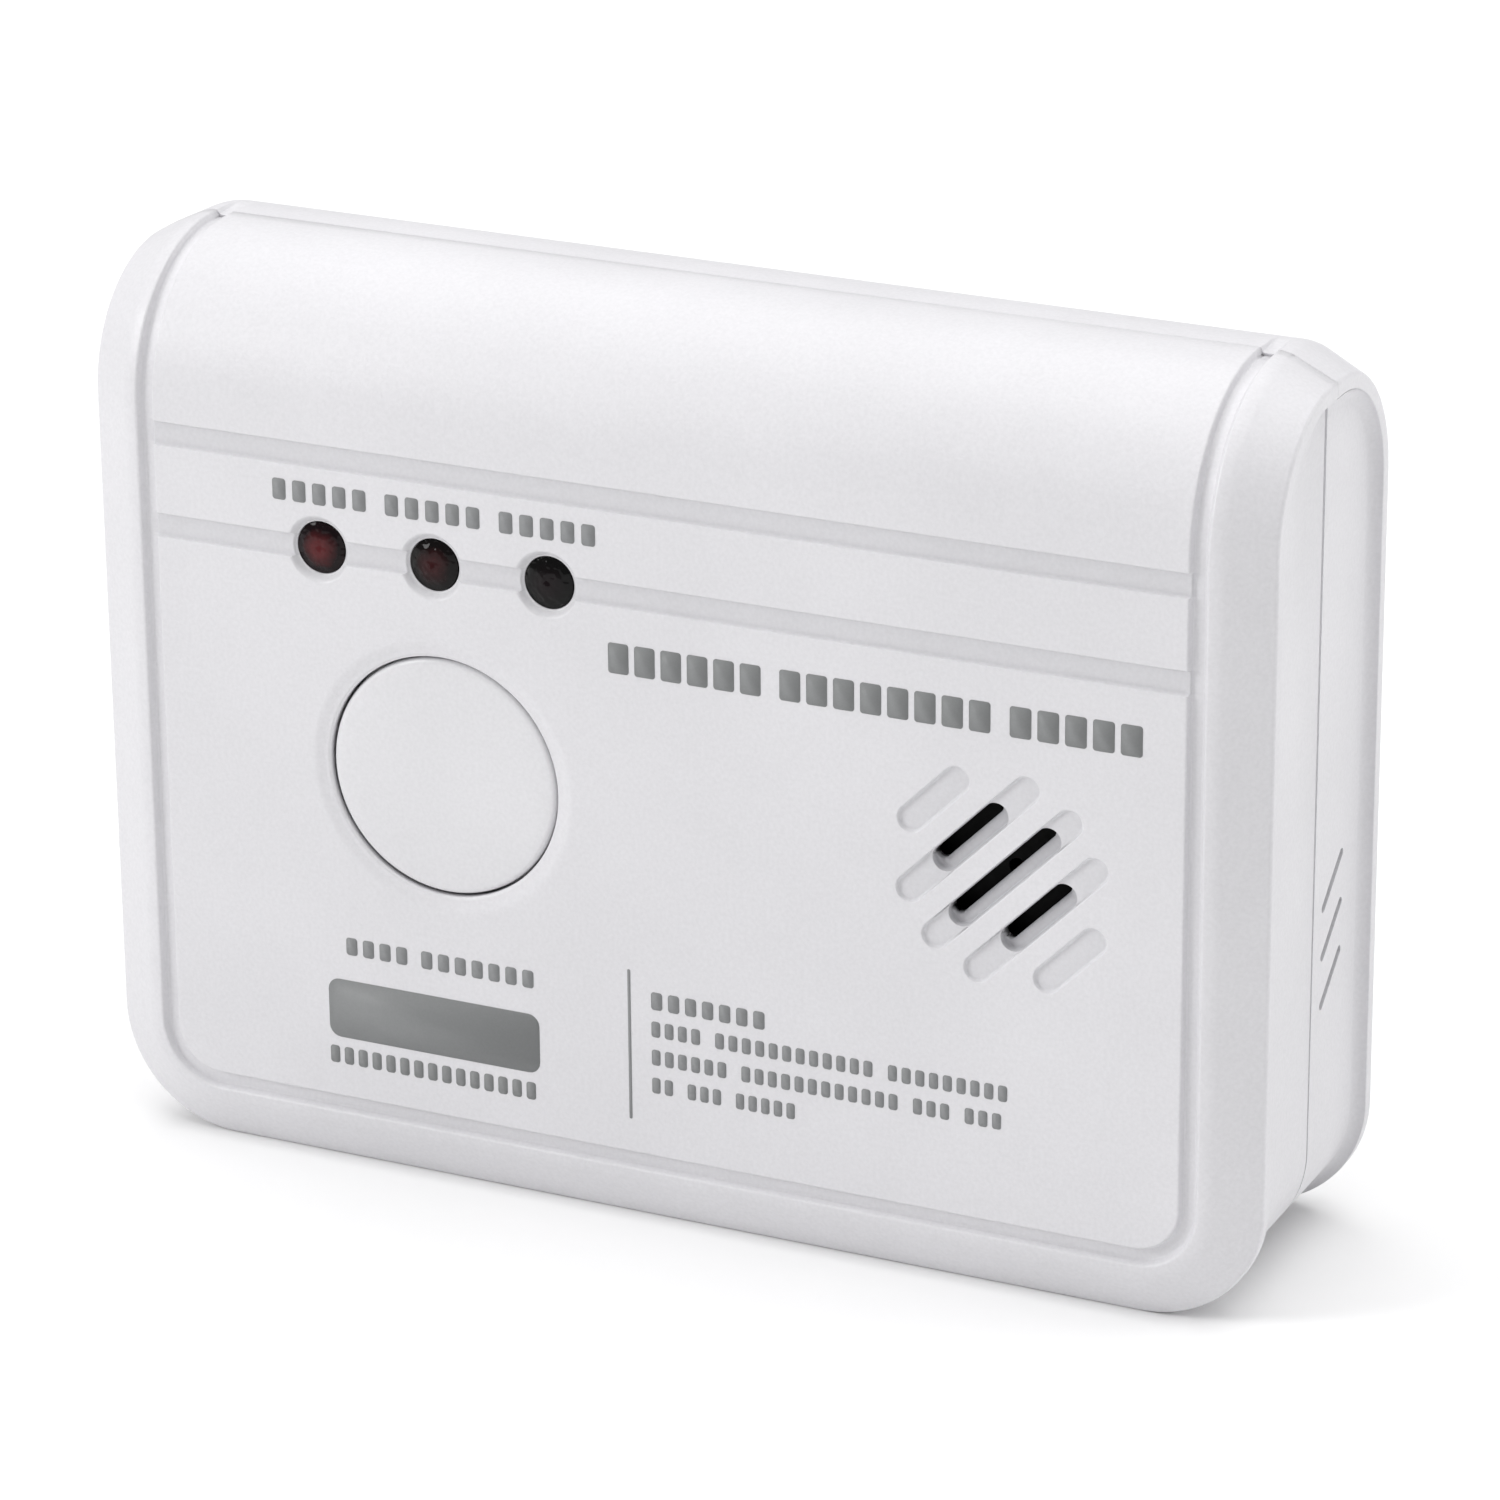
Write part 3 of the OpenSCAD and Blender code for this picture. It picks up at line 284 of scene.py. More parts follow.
def inset(x, s):
    """Distance in from the front outline at (x, s)."""
    qx = abs(x) - (HALF_W - CORNER_R)
    qs = CORNER_R - s
    return CORNER_R - hypot(max(qx, 0), max(qs, 0)) - min(max(qx, qs), 0)


def ring(t):
    """Outline at inset t: from the seam down the right side, along the bottom and up the left side."""
    cx, r = HALF_W - CORNER_R, CORNER_R - t
    right = arc(cx, CORNER_R, r, 0, -90, 24)
    left = [(-x, s) for x, s in reversed(right)]
    return [(HALF_W - t, S_END)] + right + left + [(t - HALF_W, S_END)]


def rim_keys():
    """Rim cross-section from the panel side outwards: [(inset, depth)]."""
    keys = []
    for k in range(7):
        a = RIM_ANGLE * k / 6
        keys.append((RIM_W - RIM_ROUND * sin(a), RIM_ROUND * (1 - cos(a))))
    i0, d0 = keys[-1]
    slope = sin(RIM_ANGLE) / cos(RIM_ANGLE)
    run = RIM_EDGE_R * (1 - sin(RIM_ANGLE))
    start_d = d0 + (i0 - run) * slope
    for k in range(7):
        a = RIM_ANGLE + (pi / 2 - RIM_ANGLE) * k / 6
        keys.append((run - RIM_EDGE_R * (sin(a) - sin(RIM_ANGLE)),
                     start_d + RIM_EDGE_R * (cos(RIM_ANGLE) - cos(a))))
    keys[-1] = (0.0, keys[-1][1])
    return keys[::-1]


RIM = rim_keys()
RIM_DEPTH = RIM[0][1]


def rim_depth(i):
    if i <= RIM[0][0]:
        return RIM_DEPTH
    for (i0, d0), (i1, d1) in zip(RIM, RIM[1:]):
        if i <= i1:
            return d0 + (d1 - d0) * (i - i0) / (i1 - i0)
    return 0.0


class Feature:
    """A recess or hole in a shell's sheet.

    keys is its edge's cross-section, into() the distance in from its outline, and lines() its
    outline at such a distance.
    """

    hole = False
    # Whether this recess's floor gets painted shade
    floor_gets_painted_shade = False

    def share(self, x, s):
        """How much of its full depth it has here."""
        return 1.0


class Round(Feature):
    """A round recess or hole."""

    def __init__(self, x, s, r, keys, hole=False):
        self.x, self.s, self.r, self.keys, self.hole = x, s, r, keys, hole

    def into(self, x, s):
        return self.r - hypot(x - self.x, s - self.s)

    def lines(self, t):
        steps = 144 if self.r > 8 else 72
        return [arc(self.x, self.s, self.r - t, 0, 360, steps)]


class Pill(Feature):
    """A recess or slot with round ends, half its length between end centres, turned by angle degrees."""

    floor_gets_painted_shade = True

    def __init__(self, x, s, half, r, keys, hole=False, angle=45):
        self.x, self.s, self.half, self.r, self.keys, self.hole = x, s, half, r, keys, hole
        self.angle = angle
        self.way = (cos(radians(angle)), sin(radians(angle)))

    def into(self, x, s):
        along = (x - self.x) * self.way[0] + (s - self.s) * self.way[1]
        across = (s - self.s) * self.way[0] - (x - self.x) * self.way[1]
        return self.r - hypot(max(abs(along) - self.half, 0), across)

    def lines(self, t):
        dx, ds = self.half * self.way[0], self.half * self.way[1]
        path = arc(self.x + dx, self.s + ds, self.r - t, self.angle - 90, self.angle + 90, 18)
        path += arc(self.x - dx, self.s - ds, self.r - t, self.angle + 90, self.angle + 270, 18)
        return [path + path[:1]]


class Channel(Feature):
    """The channel between rim and panel: a rounded trough."""

    def __init__(self):
        panel_side = edge(CHANNEL_DEPTH, 0.22, 0.25, wall=0.1)
        rim_side = edge(CHANNEL_DEPTH, 0.3, 0.3, wall=0.15)
        self.keys = panel_side + [(PANEL_IN - RIM_W - t, d) for t, d in rim_side[::-1]]

    def into(self, x, s):
        return PANEL_IN - inset(x, s)

    def lines(self, t):
        return [ring(PANEL_IN - t)]


class FadingChannel(Channel):
    """The channel where it runs on over the rear shell's top and fades out."""

    def share(self, x, s):
        near = max(0.0, 1 - (S_END - s) / CHANNEL_FADE)
        return FADE_DEPTH / CHANNEL_DEPTH * near * near * (3 - 2 * near)


class Opening(Feature):
    """A hole with four rounded corners."""

    hole = True

    def __init__(self, low, high, r, keys):
        self.low, self.high, self.r, self.keys = low, high, r, keys

    def into(self, x, s):
        qx = abs(x - (self.low[0] + self.high[0]) / 2) - (self.high[0] - self.low[0]) / 2 + self.r
        qs = abs(s - (self.low[1] + self.high[1]) / 2) - (self.high[1] - self.low[1]) / 2 + self.r
        return self.r - hypot(max(qx, 0), max(qs, 0)) - min(max(qx, qs), 0)

    def lines(self, t):
        (x0, s0), (x1, s1) = self.low, self.high
        path = rounded_rect(x0 + t, x1 - t, s0 + t, s1 - t, self.r - t)
        return [path + path[:1]]


class Keyhole(Feature):
    """A wall keyhole: round entry and a slot rising from it."""

    hole = True

    def __init__(self, x, s):
        self.keys = hole_edge(0.25)
        self.entry = Round(x, s, KEY_R, self.keys)
        self.slot = Pill(x, s + KEY_RISE / 2, KEY_RISE / 2, KEY_SLOT_R, self.keys, angle=90)

    def into(self, x, s):
        return max(self.entry.into(x, s), self.slot.into(x, s))

    def lines(self, t):
        return self.entry.lines(t) + self.slot.lines(t)


class Groove(Feature):
    """A level groove across the panel, open into the channel at both ends."""

    floor_gets_painted_shade = True
    keys = edge(GROOVE_DEPTH, 0.14, 0.2)

    def __init__(self, s):
        self.s = s

    def into(self, x, s):
        return min(GROOVE_W / 2 - abs(s - self.s), inset(x, s) - RIM_W - GROOVE_SHORT)

    def lines(self, t):
        half = HALF_W - RIM_W - GROOVE_SHORT
        levels = [self.s - GROOVE_W / 2 + t, self.s + GROOVE_W / 2 - t]
        return [[(-half, s), (half, s)] for s in levels]


def rounded_rect(x0, x1, z0, z1, r, steps=5):
    """Corners of a rectangle with rounded corners, as one open loop."""
    r = max(r, 0.01)
    loop = []
    corners = ((x1 - r, z1 - r, 0), (x0 + r, z1 - r, 90), (x0 + r, z0 + r, 180), (x1 - r, z0 + r, 270))
    for cx, cz, start in corners:
        loop += arc(cx, cz, r, start, start + 90, steps)
    return loop


def pill_half(row):
    """Half the distance between the end centres of one grille recess."""
    return sqrt(GRILLE_R ** 2 - (row * PILL_PITCH) ** 2) - PILL_R


def seat_keys():
    """Cone that leads down to a light, rounded where it leaves the panel and at the light."""
    run = LED_SEAT_R - LED_HOLE_R
    keys = [(run * k / 10, LED_SEAT_DEPTH * (1 - cos(pi * k / 10)) / 2) for k in range(1, 10)]
    return [(0, 0)] + keys + [(run - 0.01, LED_SEAT_DEPTH)]


def dish_keys():
    """Radius and cross-section of the soft dish round the button and the edge of its hole."""
    slope_w, lip_r = DISH_W * 0.9, 0.2
    keys = [(slope_w * k / 8, DISH_DEPTH * (1 - cos(pi * k / 8)) / 2) for k in range(9)]
    lip = [(DISH_W - lip_r + px, DISH_DEPTH + lip_r + py) for px, py in arc(0, 0, lip_r, -85, -8, 5)]
    return BUTTON_HOLE_R + DISH_W, keys + lip


def front_features():
    """Every recess and hole of the front panel."""
    items = [Channel(), Groove(GROOVE_Z), Groove(GROOVE_Z + GROOVE_GAP)]
    for name in ("led_alarm", "led_fault", "led_power"):
        mid = node_mid(name)
        items.append(Round(mid.x, GROOVE_Z, LED_SEAT_R, seat_keys()))
        items.append(Round(mid.x, GROOVE_Z, LED_HOLE_R, NO_EDGE, hole=True))
    items.append(Round(BUTTON.x, BUTTON.z, *dish_keys()))
    items.append(Round(BUTTON.x, BUTTON.z, BUTTON_HOLE_R, NO_EDGE, hole=True))
    for row in range(-2, 3):
        x = GRILLE.x + row * PILL_PITCH / sqrt(2)
        s = GRILLE.z - row * PILL_PITCH / sqrt(2)
        items.append(Pill(x, s, pill_half(row), PILL_R, edge(PILL_DEPTH, 0.14, 0.22)))
        if abs(row) < 2:
            half = pill_half(row) * POCKET_SHARES[abs(row)]
            along = POCKET_SHIFT / sqrt(2)
            deep = edge(POCKET_DEPTH - PILL_DEPTH, 0.05, 0.2, base=PILL_DEPTH)
            items.append(Pill(x + along, s + along, half, PILL_R - POCKET_IN, deep))
            off = (PILL_R - SLOT_IN - SLOT_R) / sqrt(2)
            slot_x, slot_s = x + along - off, s + along + off
            items.append(Pill(slot_x, slot_s, half + SLOT_EXTRA, SLOT_R, NO_EDGE, hole=True))
    return items


def screw_places():
    inset_x, inset_z = SCREW_HIGH.x - SCREW_HEAD_R, SCREW_HEAD_R
    return [(side * inset_x, z) for side in (-1, 1) for z in (SCREW_LOW.z + inset_z, SCREW_HIGH.z - inset_z)]


def rear_features():
    """Every recess and hole of the rear wall."""
    low = (DOOR_LOW.x + STUB_L - DOOR_GAP, DOOR_LOW.z - DOOR_GAP)
    high = (DOOR_HIGH.x - STUB_L + DOOR_GAP, DOOR_HIGH.z + DOOR_GAP)
    items = [FadingChannel(), Opening(low, high, 0.6, hole_edge(0.25))]
    notch_z = DOOR_HIGH.z + DOOR_GAP - NOTCH_R + NOTCH_RISE
    items.append(Round((low[0] + high[0]) / 2, notch_z, NOTCH_R, edge(1.2, 0.35, 0.7, wall=0.3)))
    items += [Keyhole(side * KEY_X, KEY_Z) for side in (-1, 1)]
    for x, z in screw_places():
        items.append(Round(x, z, SCREW_HEAD_R + SCREW_GAP, hole_edge(0.3), hole=True))
    return items


# ---------------------------------------------------------------------------
# Mesh helpers
# ---------------------------------------------------------------------------
def triangulate(paths, keep):
    """Triangles of a constrained Delaunay sheet through the given lines: (points, corner triples)."""
    points, edges, index = [], [], {}

    def add(p):
        key = (round(p[0], 5), round(p[1], 5))
        if key not in index:
            index[key] = len(points)
            points.append(Vector(key))
        return index[key]

    for path in paths:
        ids = [add(p) for p in path]
        edges += [(a, b) for a, b in zip(ids, ids[1:]) if a != b]
    flat, _, faces, _, _, _ = delaunay_2d_cdt(points, edges, [], 0, 1e-6)
    kept = []
    for face in faces:
        cx = sum(flat[v].x for v in face) / 3
        cy = sum(flat[v].y for v in face) / 3
        if keep(cx, cy):
            kept.append(tuple(face))
    return flat, kept


def to_object(bm, name):
    """A mesh object, in metres, from a bmesh in millimetres."""
    bmesh.ops.remove_doubles(bm, verts=bm.verts, dist=2e-4)
    bmesh.ops.recalc_face_normals(bm, faces=bm.faces)
    bmesh.ops.scale(bm, vec=(MM, MM, MM), verts=bm.verts)
    mesh = bpy.data.meshes.new(name)
    bm.to_mesh(mesh)
    bm.free()
    mesh.shade_smooth()
    obj = bpy.data.objects.new(name, mesh)
    bpy.context.scene.collection.objects.link(obj)
    return obj


def weighted(obj, sharp=None):
    """Normals weighted by face area, with edges over sharp degrees kept sharp."""
    if sharp is not None:
        obj.data.set_sharp_from_angle(angle=radians(sharp))
    mod = obj.modifiers.new("weighted", "WEIGHTED_NORMAL")
    mod.keep_sharp = True
    mod.weight = 80
    return obj


def lathe(name, profile, x, z, steps):
    """Solid of revolution about a line along Y through (x, z); profile is [(radius, y)]."""
    bm = bmesh.new()
    rings = []
    for r, y in profile:
        if r < 1e-6:
            rings.append([bm.verts.new((x, y, z))])
        else:
            rings.append([bm.verts.new((x + px, y, z + pz)) for px, pz in arc(0, 0, r, 0, 360, steps)[:-1]])
    for a, b in zip(rings, rings[1:]):
        for k in range(steps):
            quad = [a[k % len(a)], a[(k + 1) % len(a)], b[(k + 1) % len(b)], b[k % len(b)]]
            face = list(dict.fromkeys(quad))
            if len(face) > 2:
                bm.faces.new(face)
    return to_object(bm, name)


# ---------------------------------------------------------------------------
# A shell: outer sheet, rim land, step, side walls, inner liner and seam face
# ---------------------------------------------------------------------------
def bend(x, s, d):
    """Point at depth d under the sheet's (x, s), on the front half of the case."""
    if s <= ARCH_Z:
        return Vector((x, d - HALF_D, s))
    if s <= S_TOP:
        a = (s - ARCH_Z) / ARCH_R
        r = ARCH_R - d
        return Vector((x, -ARCH_Y - r * cos(a), ARCH_Z + r * sin(a)))
    return Vector((x, -ARCH_Y + s - S_TOP, TOP - d))


def toward_middle(x, s, t):
    """The sheet point moved in from the outline by t."""
    cx = HALF_W - CORNER_R
    side = 1 if x > 0 else -1
    if s >= CORNER_R - 1e-6:
        return x - side * t, s
    if abs(x) <= cx + 1e-6:
        return x, s + t
    dx, ds = abs(x) - cx, CORNER_R - s
    keep = 1 - t / hypot(dx, ds)
    return side * (cx + dx * keep), CORNER_R - ds * keep


def bend_rear(x, s, d):
    """The point that bend gives, on the rear half of the case."""
    p = bend(x, s, d)
    return Vector((p.x, -p.y, p.z))


def outer_column(fillet):
    """Cross-section of the rim's land and step, with that fillet where the step meets the side wall."""
    step = RIM_DEPTH + RIM_LAND
    land_r = 0.2
    land = [(land_r + px, step - land_r + py) for px, py in arc(0, 0, land_r, 180, 90, 4)]
    foot = [(RIM_STEP - fillet + px, step + fillet + py) for px, py in arc(0, 0, fillet, -90, 0, 8)]
    return [(0.0, RIM_DEPTH)] + land + foot


CAVITY_IN = RIM_STEP + WALL
INNER_COLUMN = [(CAVITY_IN, WALL), (CAVITY_IN, WALL + 0.5)]
# Share of the painted recess shade that a shallow groove or grille recess floor gets
SHALLOW_PAINTED_SHADE = 0.42


class Skin:
    """One side of a shell's wall, from its sheet down to the seam plane."""

    def __init__(self, bm, paths, keep, depth, column, place):
        self.bm, self.depth, self.column, self.place = bm, depth, column, place
        self.flat, faces = triangulate(paths, keep)
        used = sorted({v for face in faces for v in face})
        self.verts = {v: bm.verts.new(place(*self.flat[v], depth(*self.flat[v]))) for v in used}
        count = {}
        for face in faces:
            bm.faces.new([self.verts[v] for v in face])
            for a, b in zip(face, face[1:] + face[:1]):
                key = (min(a, b), max(a, b))
                count[key] = count.get(key, 0) + 1
        self.border = [pair for pair, n in count.items() if n == 1]

    def is_rim(self, v):
        return abs(inset(*self.flat[v]) - self.column[0][0]) < 0.004

    def is_seam(self, v):
        return abs(self.flat[v].y - S_END) < 1e-4

    def side_walls(self, seam_paths):
        """Columns from the outline down to the seam, and the flat side faces."""
        columns, start = {}, self.column[0][0]

        def column(v):
            if v not in columns:
                x, s = self.flat[v]
                points = []
                for t, d in self.column[1:]:
                    points.append(self.place(*toward_middle(x, s, t - start), d))
                if s <= CORNER_R + 1e-4:
                    points.append(self.place(*toward_middle(x, s, self.column[-1][0] - start), HALF_D - SEAM))
                columns[v] = [self.verts[v]] + [self.bm.verts.new(p) for p in points]
            return columns[v]

        for a, b in self.border:
            if not (self.is_rim(a) and self.is_rim(b)):
                continue
            ca, cb = column(a), column(b)
            low = max(self.flat[a].y, self.flat[b].y) <= CORNER_R + 1e-4
            for k in range(len(self.column) - 1 + (1 if low else 0)):
                self.bm.faces.new([ca[k], ca[k + 1], cb[k + 1], cb[k]])
            if low:
                seam_paths.append([ca[-1].co.copy(), cb[-1].co.copy()])
        for a, b in self.border:
            if self.is_seam(a) and self.is_seam(b):
                seam_paths.append([self.verts[a].co.copy(), self.verts[b].co.copy()])
        self.columns = columns

    def side_outline(self, side, seam_paths):
        """Corners of the flat side wall, in order, from the corner's end round the arch to the seam."""
        last = len(self.column) - 1
        chain = [(self.flat[v].y, c) for v, c in self.columns.items() if self.flat[v].x * side > 0]
        chain = sorted((s, c) for s, c in chain if s >= CORNER_R - 1e-4)
        end = chain[-1][1]
        for p, q in zip(end[:-1], end[1:]):
            seam_paths.append([p.co.copy(), q.co.copy()])
        corners = [c[last].co.copy() for _, c in chain]
        corners.append(self.place(*toward_middle(side * HALF_W, CORNER_R, self.column[-1][0]), HALF_D - SEAM))
        seam_paths.append([corners[-2], corners[-1]])
        return corners


def flat_face(bm, outline, x):
    """A face in the plane at x, bounded by outline."""
    path = [(p.y, p.z) for p in outline]
    flat, faces = triangulate([path + path[:1]], lambda y, z: inside(path, y, z))
    verts = {v: bm.verts.new((x, *flat[v])) for v in {v for f in faces for v in f}}
    for face in faces:
        bm.faces.new([verts[v] for v in face])


def inside(path, px, py):
    """Whether a point lies inside a closed outline."""
    found = False
    for (x0, y0), (x1, y1) in zip(path, path[1:] + path[:1]):
        if (y0 > py) != (y1 > py) and px < x0 + (x1 - x0) * (py - y0) / (y1 - y0):
            found = not found
    return found


def seam_face(bm, outer_paths, inner_paths):
    """Fills the seam plane between the outer and the inner outline."""
    y = outer_paths[0][0].y
    lines = [[(p.x, p.z), (q.x, q.z)] for p, q in outer_paths + inner_paths]
    outer, inner = chain_up(outer_paths), chain_up(inner_paths)
    flat, faces = triangulate(lines, lambda x, z: inside(outer, x, z) and not inside(inner, x, z))
    verts = {v: bm.verts.new((flat[v].x, y, flat[v].y)) for v in {v for f in faces for v in f}}
    for face in faces:
        bm.faces.new([verts[v] for v in face])


def chain_up(pairs):
    """Joins unordered two-point pieces into one closed outline of (x, z)."""
    near = {}
    for p, q in pairs:
        a, b = (round(p.x, 4), round(p.z, 4)), (round(q.x, 4), round(q.z, 4))
        if a != b:
            near.setdefault(a, []).append(b)
            near.setdefault(b, []).append(a)
    start = here = next(iter(near))
    before, path = None, [start]
    while True:
        step = [n for n in near[here] if n != before]
        before, here = here, step[0]
        if here == start or len(path) > len(near):
            return path
        path.append(here)


def painted_recess_shade(deep):
    """How much painted shade a recess floor at that depth gets: the shallow share in a groove, 1 in a pocket."""
    shallow = min(1, max(0, (deep - 0.2) / 0.2))
    pocket = min(1, max(0, (deep - 0.6) / 0.6))
    return SHALLOW_PAINTED_SHADE * shallow + (1 - SHALLOW_PAINTED_SHADE) * pocket


def build_shell(name, features, place, fillet):
    """A closed shell half with all its recesses and holes."""
    bm = bmesh.new()
    tint = bm.verts.layers.float.new("recess")
    holes = [f for f in features if f.hole]

    def recess(x, s):
        return max(lookup(f.keys, f.into(x, s)) * f.share(x, s) for f in features)

    def depth(x, s):
        return rim_depth(inset(x, s)) + recess(x, s)

    def keep(x, s):
        return inset(x, s) > 0.002 and all(f.into(x, s) < 0 for f in holes)

    rows = [[(-HALF_W, s), (HALF_W, s)] for s in ROWS + [S_END]]
    paths = [ring(i) for i, _ in RIM] + rows
    for f in features:
        distances = [key[0] for key in f.keys]
        if f.hole:
            distances = [0] + [t for t in distances if t <= 0]
        for t in distances:
            paths += f.lines(t)
    outer = Skin(bm, paths, keep, depth, outer_column(fillet), place)
    for v, vert in outer.verts.items():
        # Painted shade: each vertex stores how much its recess floor is greyed in the material
        deep = max(lookup(f.keys, f.into(*outer.flat[v])) if f.floor_gets_painted_shade else 0.0 for f in features)
        vert[tint] = painted_recess_shade(deep)
    outer_seam, inner_seam = [], []
    outer.side_walls(outer_seam)

    rims = [pair for pair in outer.border if not all(outer.is_rim(v) for v in pair)]
    loops = [pair for pair in rims if not all(outer.is_seam(v) for v in pair)]
    hole_lines = [[tuple(outer.flat[a]), tuple(outer.flat[b])] for a, b in loops]
    inner_rows = [[(CAVITY_IN - HALF_W, s), (HALF_W - CAVITY_IN, s)] for s in ROWS + [S_END]]
    inner = Skin(bm, [ring(CAVITY_IN)] + inner_rows + hole_lines,
                 lambda x, s: inset(x, s) > CAVITY_IN + 0.002 and all(f.into(x, s) < 0 for f in holes),
                 lambda x, s: WALL, INNER_COLUMN, place)
    inner.side_walls(inner_seam)
    below = {(round(inner.flat[v].x, 4), round(inner.flat[v].y, 4)): vert for v, vert in inner.verts.items()}
    for a, b in loops:
        ka, kb = [(round(outer.flat[v].x, 4), round(outer.flat[v].y, 4)) for v in (a, b)]
        if ka in below and kb in below:
            bm.faces.new([outer.verts[a], outer.verts[b], below[kb], below[ka]])
    for skin, seam, x in ((outer, outer_seam, HALF_W - RIM_STEP), (inner, inner_seam, HALF_W - CAVITY_IN)):
        for side in (-1, 1):
            flat_face(bm, skin.side_outline(side, seam), side * x)
    seam_face(bm, outer_seam, inner_seam)
    return to_object(bm, name)


# ---------------------------------------------------------------------------
# Materials
# ---------------------------------------------------------------------------
# Painted shade: the grey that recess floors are multiplied by
RECESS_PAINTED_SHADE = (0.80, 0.803, 0.81)


def principled(name, color, roughness, metallic=0.0, coat=0.0, coat_roughness=0.1, specular=0.5):
    """A new material and its nodes, with the constant values on the shader's own sockets."""
    mat = bpy.data.materials.new(name)
    mat.use_nodes = True
    nodes, links = mat.node_tree.nodes, mat.node_tree.links
    shader = nodes["Principled BSDF"]
    shader.inputs["Base Color"].default_value = (*color, 1)
    shader.inputs["Roughness"].default_value = roughness
    shader.inputs["Metallic"].default_value = metallic
    shader.inputs["Specular IOR Level"].default_value = specular
    shader.inputs["Coat Weight"].default_value = coat
    shader.inputs["Coat Roughness"].default_value = coat_roughness
    place = nodes.new("ShaderNodeTexCoord")
    return mat, nodes, links, shader, place.outputs["Object"]


def noise(nodes, links, vector, scale, detail=3.0, rough=0.5):
    node = nodes.new("ShaderNodeTexNoise")
    node.inputs["Scale"].default_value = scale
    node.inputs["Detail"].default_value = detail
    node.inputs["Roughness"].default_value = rough
    links.new(vector, node.inputs["Vector"])
    return node.outputs["Fac"]


def remap(nodes, links, value, low, high, start=0.3, end=0.7):
    node = nodes.new("ShaderNodeMapRange")
    node.inputs["From Min"].default_value = start
    node.inputs["From Max"].default_value = end
    node.inputs["To Min"].default_value = low
    node.inputs["To Max"].default_value = high
    links.new(value, node.inputs["Value"])
    return node.outputs["Result"]


def two_tone(nodes, links, value, first, second, start=0.35, end=0.65):
    node = nodes.new("ShaderNodeValToRGB")
    node.color_ramp.elements[0].position = start
    node.color_ramp.elements[0].color = (*first, 1)
    node.color_ramp.elements[1].position = end
    node.color_ramp.elements[1].color = (*second, 1)
    links.new(value, node.inputs["Fac"])
    return node.outputs["Color"]


def with_painted_recess_shade(nodes, links, color):
    """The colour with painted shade: a little greyer where the mesh's recess attribute marks the floor of a recess."""
    mark = nodes.new("ShaderNodeAttribute")
    mark.attribute_name = "recess"
    node = nodes.new("ShaderNodeMix")
    node.data_type = "RGBA"
    node.blend_type = "MULTIPLY"
    links.new(mark.outputs["Fac"], node.inputs["Factor"])
    first, second = [socket for socket in node.inputs if socket.type == "RGBA"]
    links.new(color, first)
    second.default_value = (*RECESS_PAINTED_SHADE, 1)
    return next(socket for socket in node.outputs if socket.type == "RGBA")


def speckled(nodes, links, color, value):
    """The colour times a value that varies over the surface."""
    node = nodes.new("ShaderNodeMix")
    node.data_type = "RGBA"
    node.blend_type = "MULTIPLY"
    node.inputs["Factor"].default_value = 1
    first, second = [socket for socket in node.inputs if socket.type == "RGBA"]
    links.new(color, first)
    links.new(value, second)
    return next(socket for socket in node.outputs if socket.type == "RGBA")


def add_bump(nodes, links, shader, height, strength, distance):
    node = nodes.new("ShaderNodeBump")
    node.inputs["Strength"].default_value = strength
    node.inputs["Distance"].default_value = distance
    links.new(height, node.inputs["Height"])
    links.new(node.outputs["Normal"], shader.inputs["Normal"])


def moulded(name, color, roughness=0.45, grain=2600, relief=0.35, tint=0.96, coat=0.0, spread=0.05,
            specular=0.5):
    """Moulded plastic: fine spark-erosion grain, faint cloudiness and uneven gloss."""
    mat, nodes, links, shader, at = principled(name, color, roughness, coat=coat, specular=specular)
    dark = tuple(c * tint for c in color)
    cloudy = two_tone(nodes, links, noise(nodes, links, at, 45), dark, color)
    fine = noise(nodes, links, at, grain, 2.0)
    cloudy = speckled(nodes, links, cloudy, remap(nodes, links, fine, 0.965, 1.02))
    # Painted shade on recess floors is multiplied into the plastic's colour here
    links.new(with_painted_recess_shade(nodes, links, cloudy), shader.inputs["Base Color"])
    gloss = remap(nodes, links, noise(nodes, links, at, 700), roughness - spread, roughness + spread)
    links.new(gloss, shader.inputs["Roughness"])
    add_bump(nodes, links, shader, fine, relief, 6e-5)
    return mat


def metal(name, color, roughness=0.3, stretch=(1, 1, 1), scale=900):
    """Metal with fine brushed or pressed marks."""
    mat, nodes, links, shader, at = principled(name, color, roughness, metallic=1.0)
    mapping = nodes.new("ShaderNodeMapping")
    mapping.inputs["Scale"].default_value = stretch
    links.new(at, mapping.inputs["Vector"])
    marks = noise(nodes, links, mapping.outputs["Vector"], scale, 4.0)
    dark = tuple(c * 0.82 for c in color)
    links.new(two_tone(nodes, links, marks, dark, color), shader.inputs["Base Color"])
    links.new(remap(nodes, links, marks, roughness - 0.08, roughness + 0.12), shader.inputs["Roughness"])
    add_bump(nodes, links, shader, marks, 0.2, 1e-5)
    return mat


